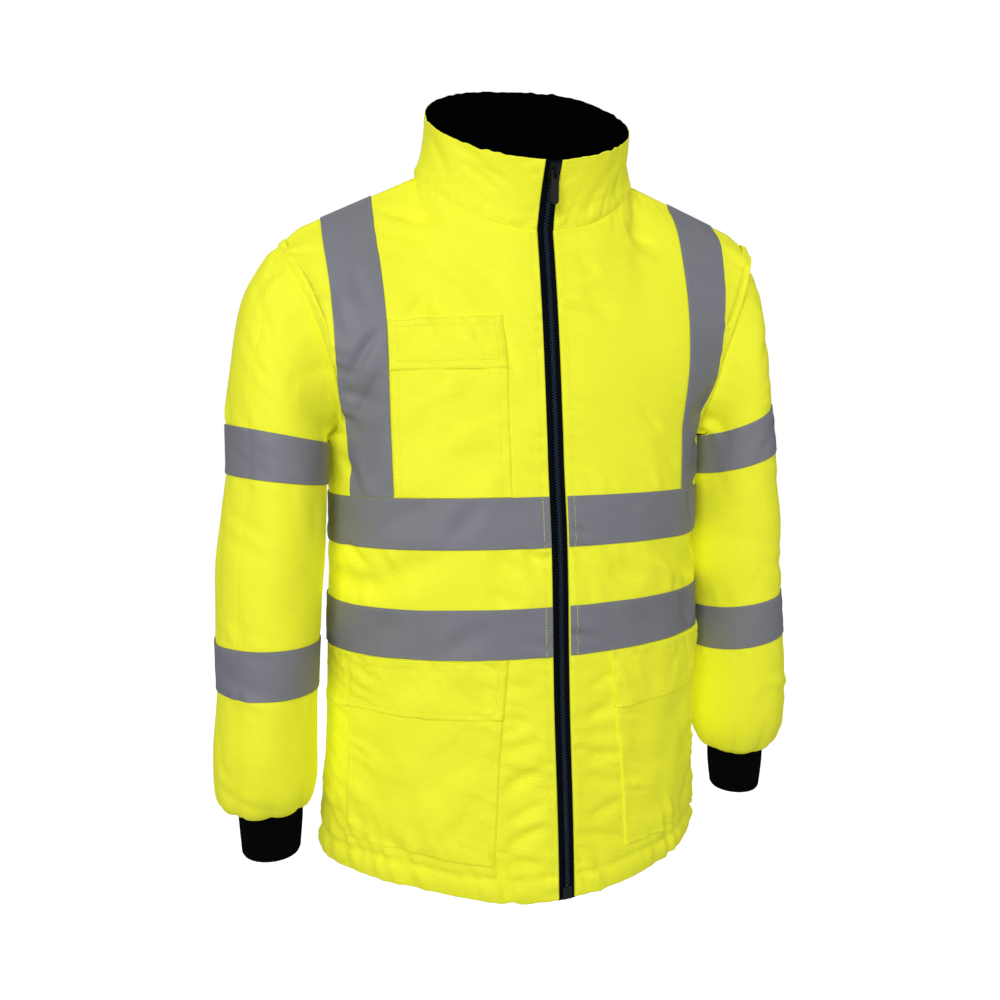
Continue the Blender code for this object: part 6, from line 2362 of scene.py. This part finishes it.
@dataclass
class FrontZip:
    """Full-length zip: woven tapes, moulded teeth, and its box, slider and pull tab."""

    forms: JacketForms
    wardrobe: Wardrobe
    tape_depth: float = 1.5
    tape_inner: float = 0.25
    tape_reach: float = 9.6
    tape_thickness: float = 0.8
    tape_cell: float = 1.9
    pitch: float = 2.9
    tooth: tuple[float, float, float] = (3.0, 1.75, 1.9)
    tooth_offset: float = 0.95
    chain_start: float = 16.0
    chain_end: float = 5.0
    chain_lift: float = 0.1
    tape_width: float = 10.0

    def layer(self, lift: float) -> Layer:
        """The gap's surface at some height over the front edges."""
        return Layer(self.forms.zip, lift)

    def build(self) -> None:
        """Builds the tapes and the chain; the metal parts keep their solids."""
        last = self.forms.zip.shape[1] - 1
        for arm in Side:
            edge = self.forms.body.zip_edge
            span = tuple(sorted(1 + arm.sign * x / edge for x in (self.tape_inner, self.tape_reach)))
            piece = lay_sheet(f"zip_tape_{arm.label}_woven", self.layer(-self.tape_depth), span, (0, last),
                              [self.wardrobe["zip_tape"]], self.tape_thickness, self.tape_cell)
            dress(piece, Slot.ZIP_TAPE, f"zip_tape_{arm.label}")
            declare(piece, (self.tape_width, self.forms.zip.flat_size((0.0, 2.0))[1]))
        self.build_chain(last)
        for name in ("zip_slider", "zip_pull"):
            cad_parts[name].material_slots[0].material = self.wardrobe["metal"]
        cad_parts["zip_box"].material_slots[0].material = self.wardrobe["box"]

    def tooth_template(self) -> Mesh:
        """One moulded tooth: a root, a waist and a broader head; X runs up the zip, Y to the tape.

        Returns:
            The tooth's mesh in metres.
        """
        long, wide, high = self.tooth
        bm = bmesh.new()
        bmesh.ops.create_cube(bm, size=1.0)
        lengthwise = [e for e in bm.edges if abs(e.verts[0].co.y - e.verts[1].co.y) > 0.5]
        bmesh.ops.subdivide_edges(bm, edges=lengthwise, cuts=2, use_grid_fill=True)
        for vert in bm.verts:
            y = vert.co.y
            vert.co.x *= (0.86 if y < -0.4 else 0.5 if abs(y) < 0.2 else 1.0)
            vert.co = Vector((vert.co.x * wide, vert.co.y * long, vert.co.z * high)) * MM
        upper = [e for e in bm.edges if all(v.co.z > 0 for v in e.verts)]
        bmesh.ops.bevel(bm, geom=upper, offset=0.3 * MM, segments=1, profile=0.5, affect="EDGES",
                        material=-1)
        mesh = bpy.data.meshes.new("tooth")
        bm.to_mesh(mesh)
        bm.free()
        return mesh

    def build_chain(self, last: int) -> None:
        """Builds both rows of teeth, half a pitch apart.

        Args:
            last: the zip's last crosswise line.
        """
        v, layer = np.linspace(0, last, 900), self.layer(self.chain_lift)
        middle, normals, _ = layer.at(np.full_like(v, 1.0), v)
        side_place = layer.at(np.full_like(v, 2.0), v)[0] - middle
        run = run_along(middle)
        rows = []
        for sign, start in ((1, 0.0), (-1, self.pitch / 2)):
            at = np.arange(self.chain_start + start, run[-1] - self.chain_end, self.pitch)
            place, normal, side, ahead = (
                read_along(run, values, at)
                for values in (middle, normals, side_place, np.gradient(middle, axis=0)))
            side = side / np.linalg.norm(side, axis=1, keepdims=True)
            frames = frames_along(place + side * sign * self.tooth_offset, ahead, normal)
            if sign > 0:
                frames[:, :3, :2] *= -1
            rows.append(frames)
        template = self.tooth_template()
        chain = copies("zip_teeth", template, np.concatenate(rows), [self.wardrobe["tooth"]])
        bpy.data.meshes.remove(template)
        dress(chain, Slot.ZIP_TEETH, "zip_chain")


# ---------------------------------------------------------------- studio

@dataclass
class Studio:
    """Plain pale floor, soft light and the camera."""

    camera_place: tuple[float, float, float] = (-0.32212, -0.91706, -0.23352)
    azimuth: float = 18.22
    pitch: float = 6.21
    lens: float = 31.3
    sensor: float = 36.0
    aim: tuple[float, float, float] = (0.0, 0.0, -0.35)
    floor_z: float = -1.05
    floor_radius: float = 3.2
    ambient: float = 0.3

    def build(self) -> None:
        """Builds the floor, the lights, the world and the camera."""
        self.build_floor()
        self.build_world()
        for name, place, size, power in (("key", (-1.22, -1.9, 0.62), 1.0, 31.0),
                                         ("fill", (1.35, -2.05, 0.3), 1.6, 8.8),
                                         ("back", (0.3, 2.4, 1.2), 1.8, 34.0)):
            lamp = bpy.data.lights.new(name, "AREA")
            lamp.energy, lamp.size = power, size
            light = bpy.data.objects.new(name, lamp)
            light.location = place
            towards = Vector(self.aim) - light.location
            light.rotation_euler = towards.to_track_quat("-Z", "Y").to_euler()
            bpy.context.scene.collection.objects.link(light)
        lens = bpy.data.cameras.new("camera")
        lens.lens, lens.sensor_width = self.lens, self.sensor
        camera = bpy.data.objects.new("camera", lens)
        camera.location = self.camera_place
        camera.rotation_euler = (math.radians(90 - self.pitch), 0.0, -math.radians(self.azimuth))
        bpy.context.scene.collection.objects.link(camera)
        bpy.context.scene.camera = camera
        bpy.context.scene.view_settings.view_transform = "Standard"

    def build_floor(self) -> None:
        """Builds the round floor."""
        bm = bmesh.new()
        bmesh.ops.create_circle(bm, cap_ends=True, radius=self.floor_radius, segments=96)
        bmesh.ops.translate(bm, verts=bm.verts, vec=Vector((0, 0, self.floor_z)))
        material = bpy.data.materials.new("white_painted_floor")
        material.use_nodes = True
        tree = material.node_tree
        shader = tree.nodes["Principled BSDF"]
        shader.inputs["Base Color"].default_value = linear("B4B4B4")
        shader.inputs["Roughness"].default_value = 0.9
        shader.inputs["Emission Color"].default_value = (1.0, 1.0, 1.0, 1.0)
        seen = node(tree, "LightPath").outputs["Is Camera Ray"]
        tree.links.new(node(tree, "MapRange", {0: seen, 3: 0.0, 4: 0.85}).outputs[0],
                       shader.inputs["Emission Strength"])
        from_bmesh("floor", bm, [material])

    def build_world(self) -> None:
        """Lights the scene evenly from all sides."""
        world = bpy.data.worlds.new("studio")
        bpy.context.scene.world = world
        world.use_nodes = True
        tree = world.node_tree
        tree.nodes["Background"].inputs["Color"].default_value = (1.0, 1.0, 1.0, 1.0)
        seen = node(tree, "LightPath").outputs["Is Camera Ray"]
        share = node(tree, "MapRange", {0: seen, 3: self.ambient, 4: 1.0}).outputs[0]
        tree.links.new(share, tree.nodes["Background"].inputs["Strength"])


# ---------------------------------------------------------------- all

def main() -> None:
    """Builds every part of the jacket and the studio."""
    logging.basicConfig(level=logging.INFO, format="%(name)s: %(message)s")
    forms, wardrobe = JacketForms(), Wardrobe()
    cloth = BodyCloth(forms, wardrobe)
    for part in (cloth, BodyTapes(cloth, wardrobe), PatchPockets(cloth, wardrobe),
                 StandCollar(forms, wardrobe), Sleeves(forms, wardrobe), FrontZip(forms, wardrobe),
                 Studio()):
        part.build()
        LOG.info("built %s", type(part).__name__)


if __name__ == "__main__":
    main()
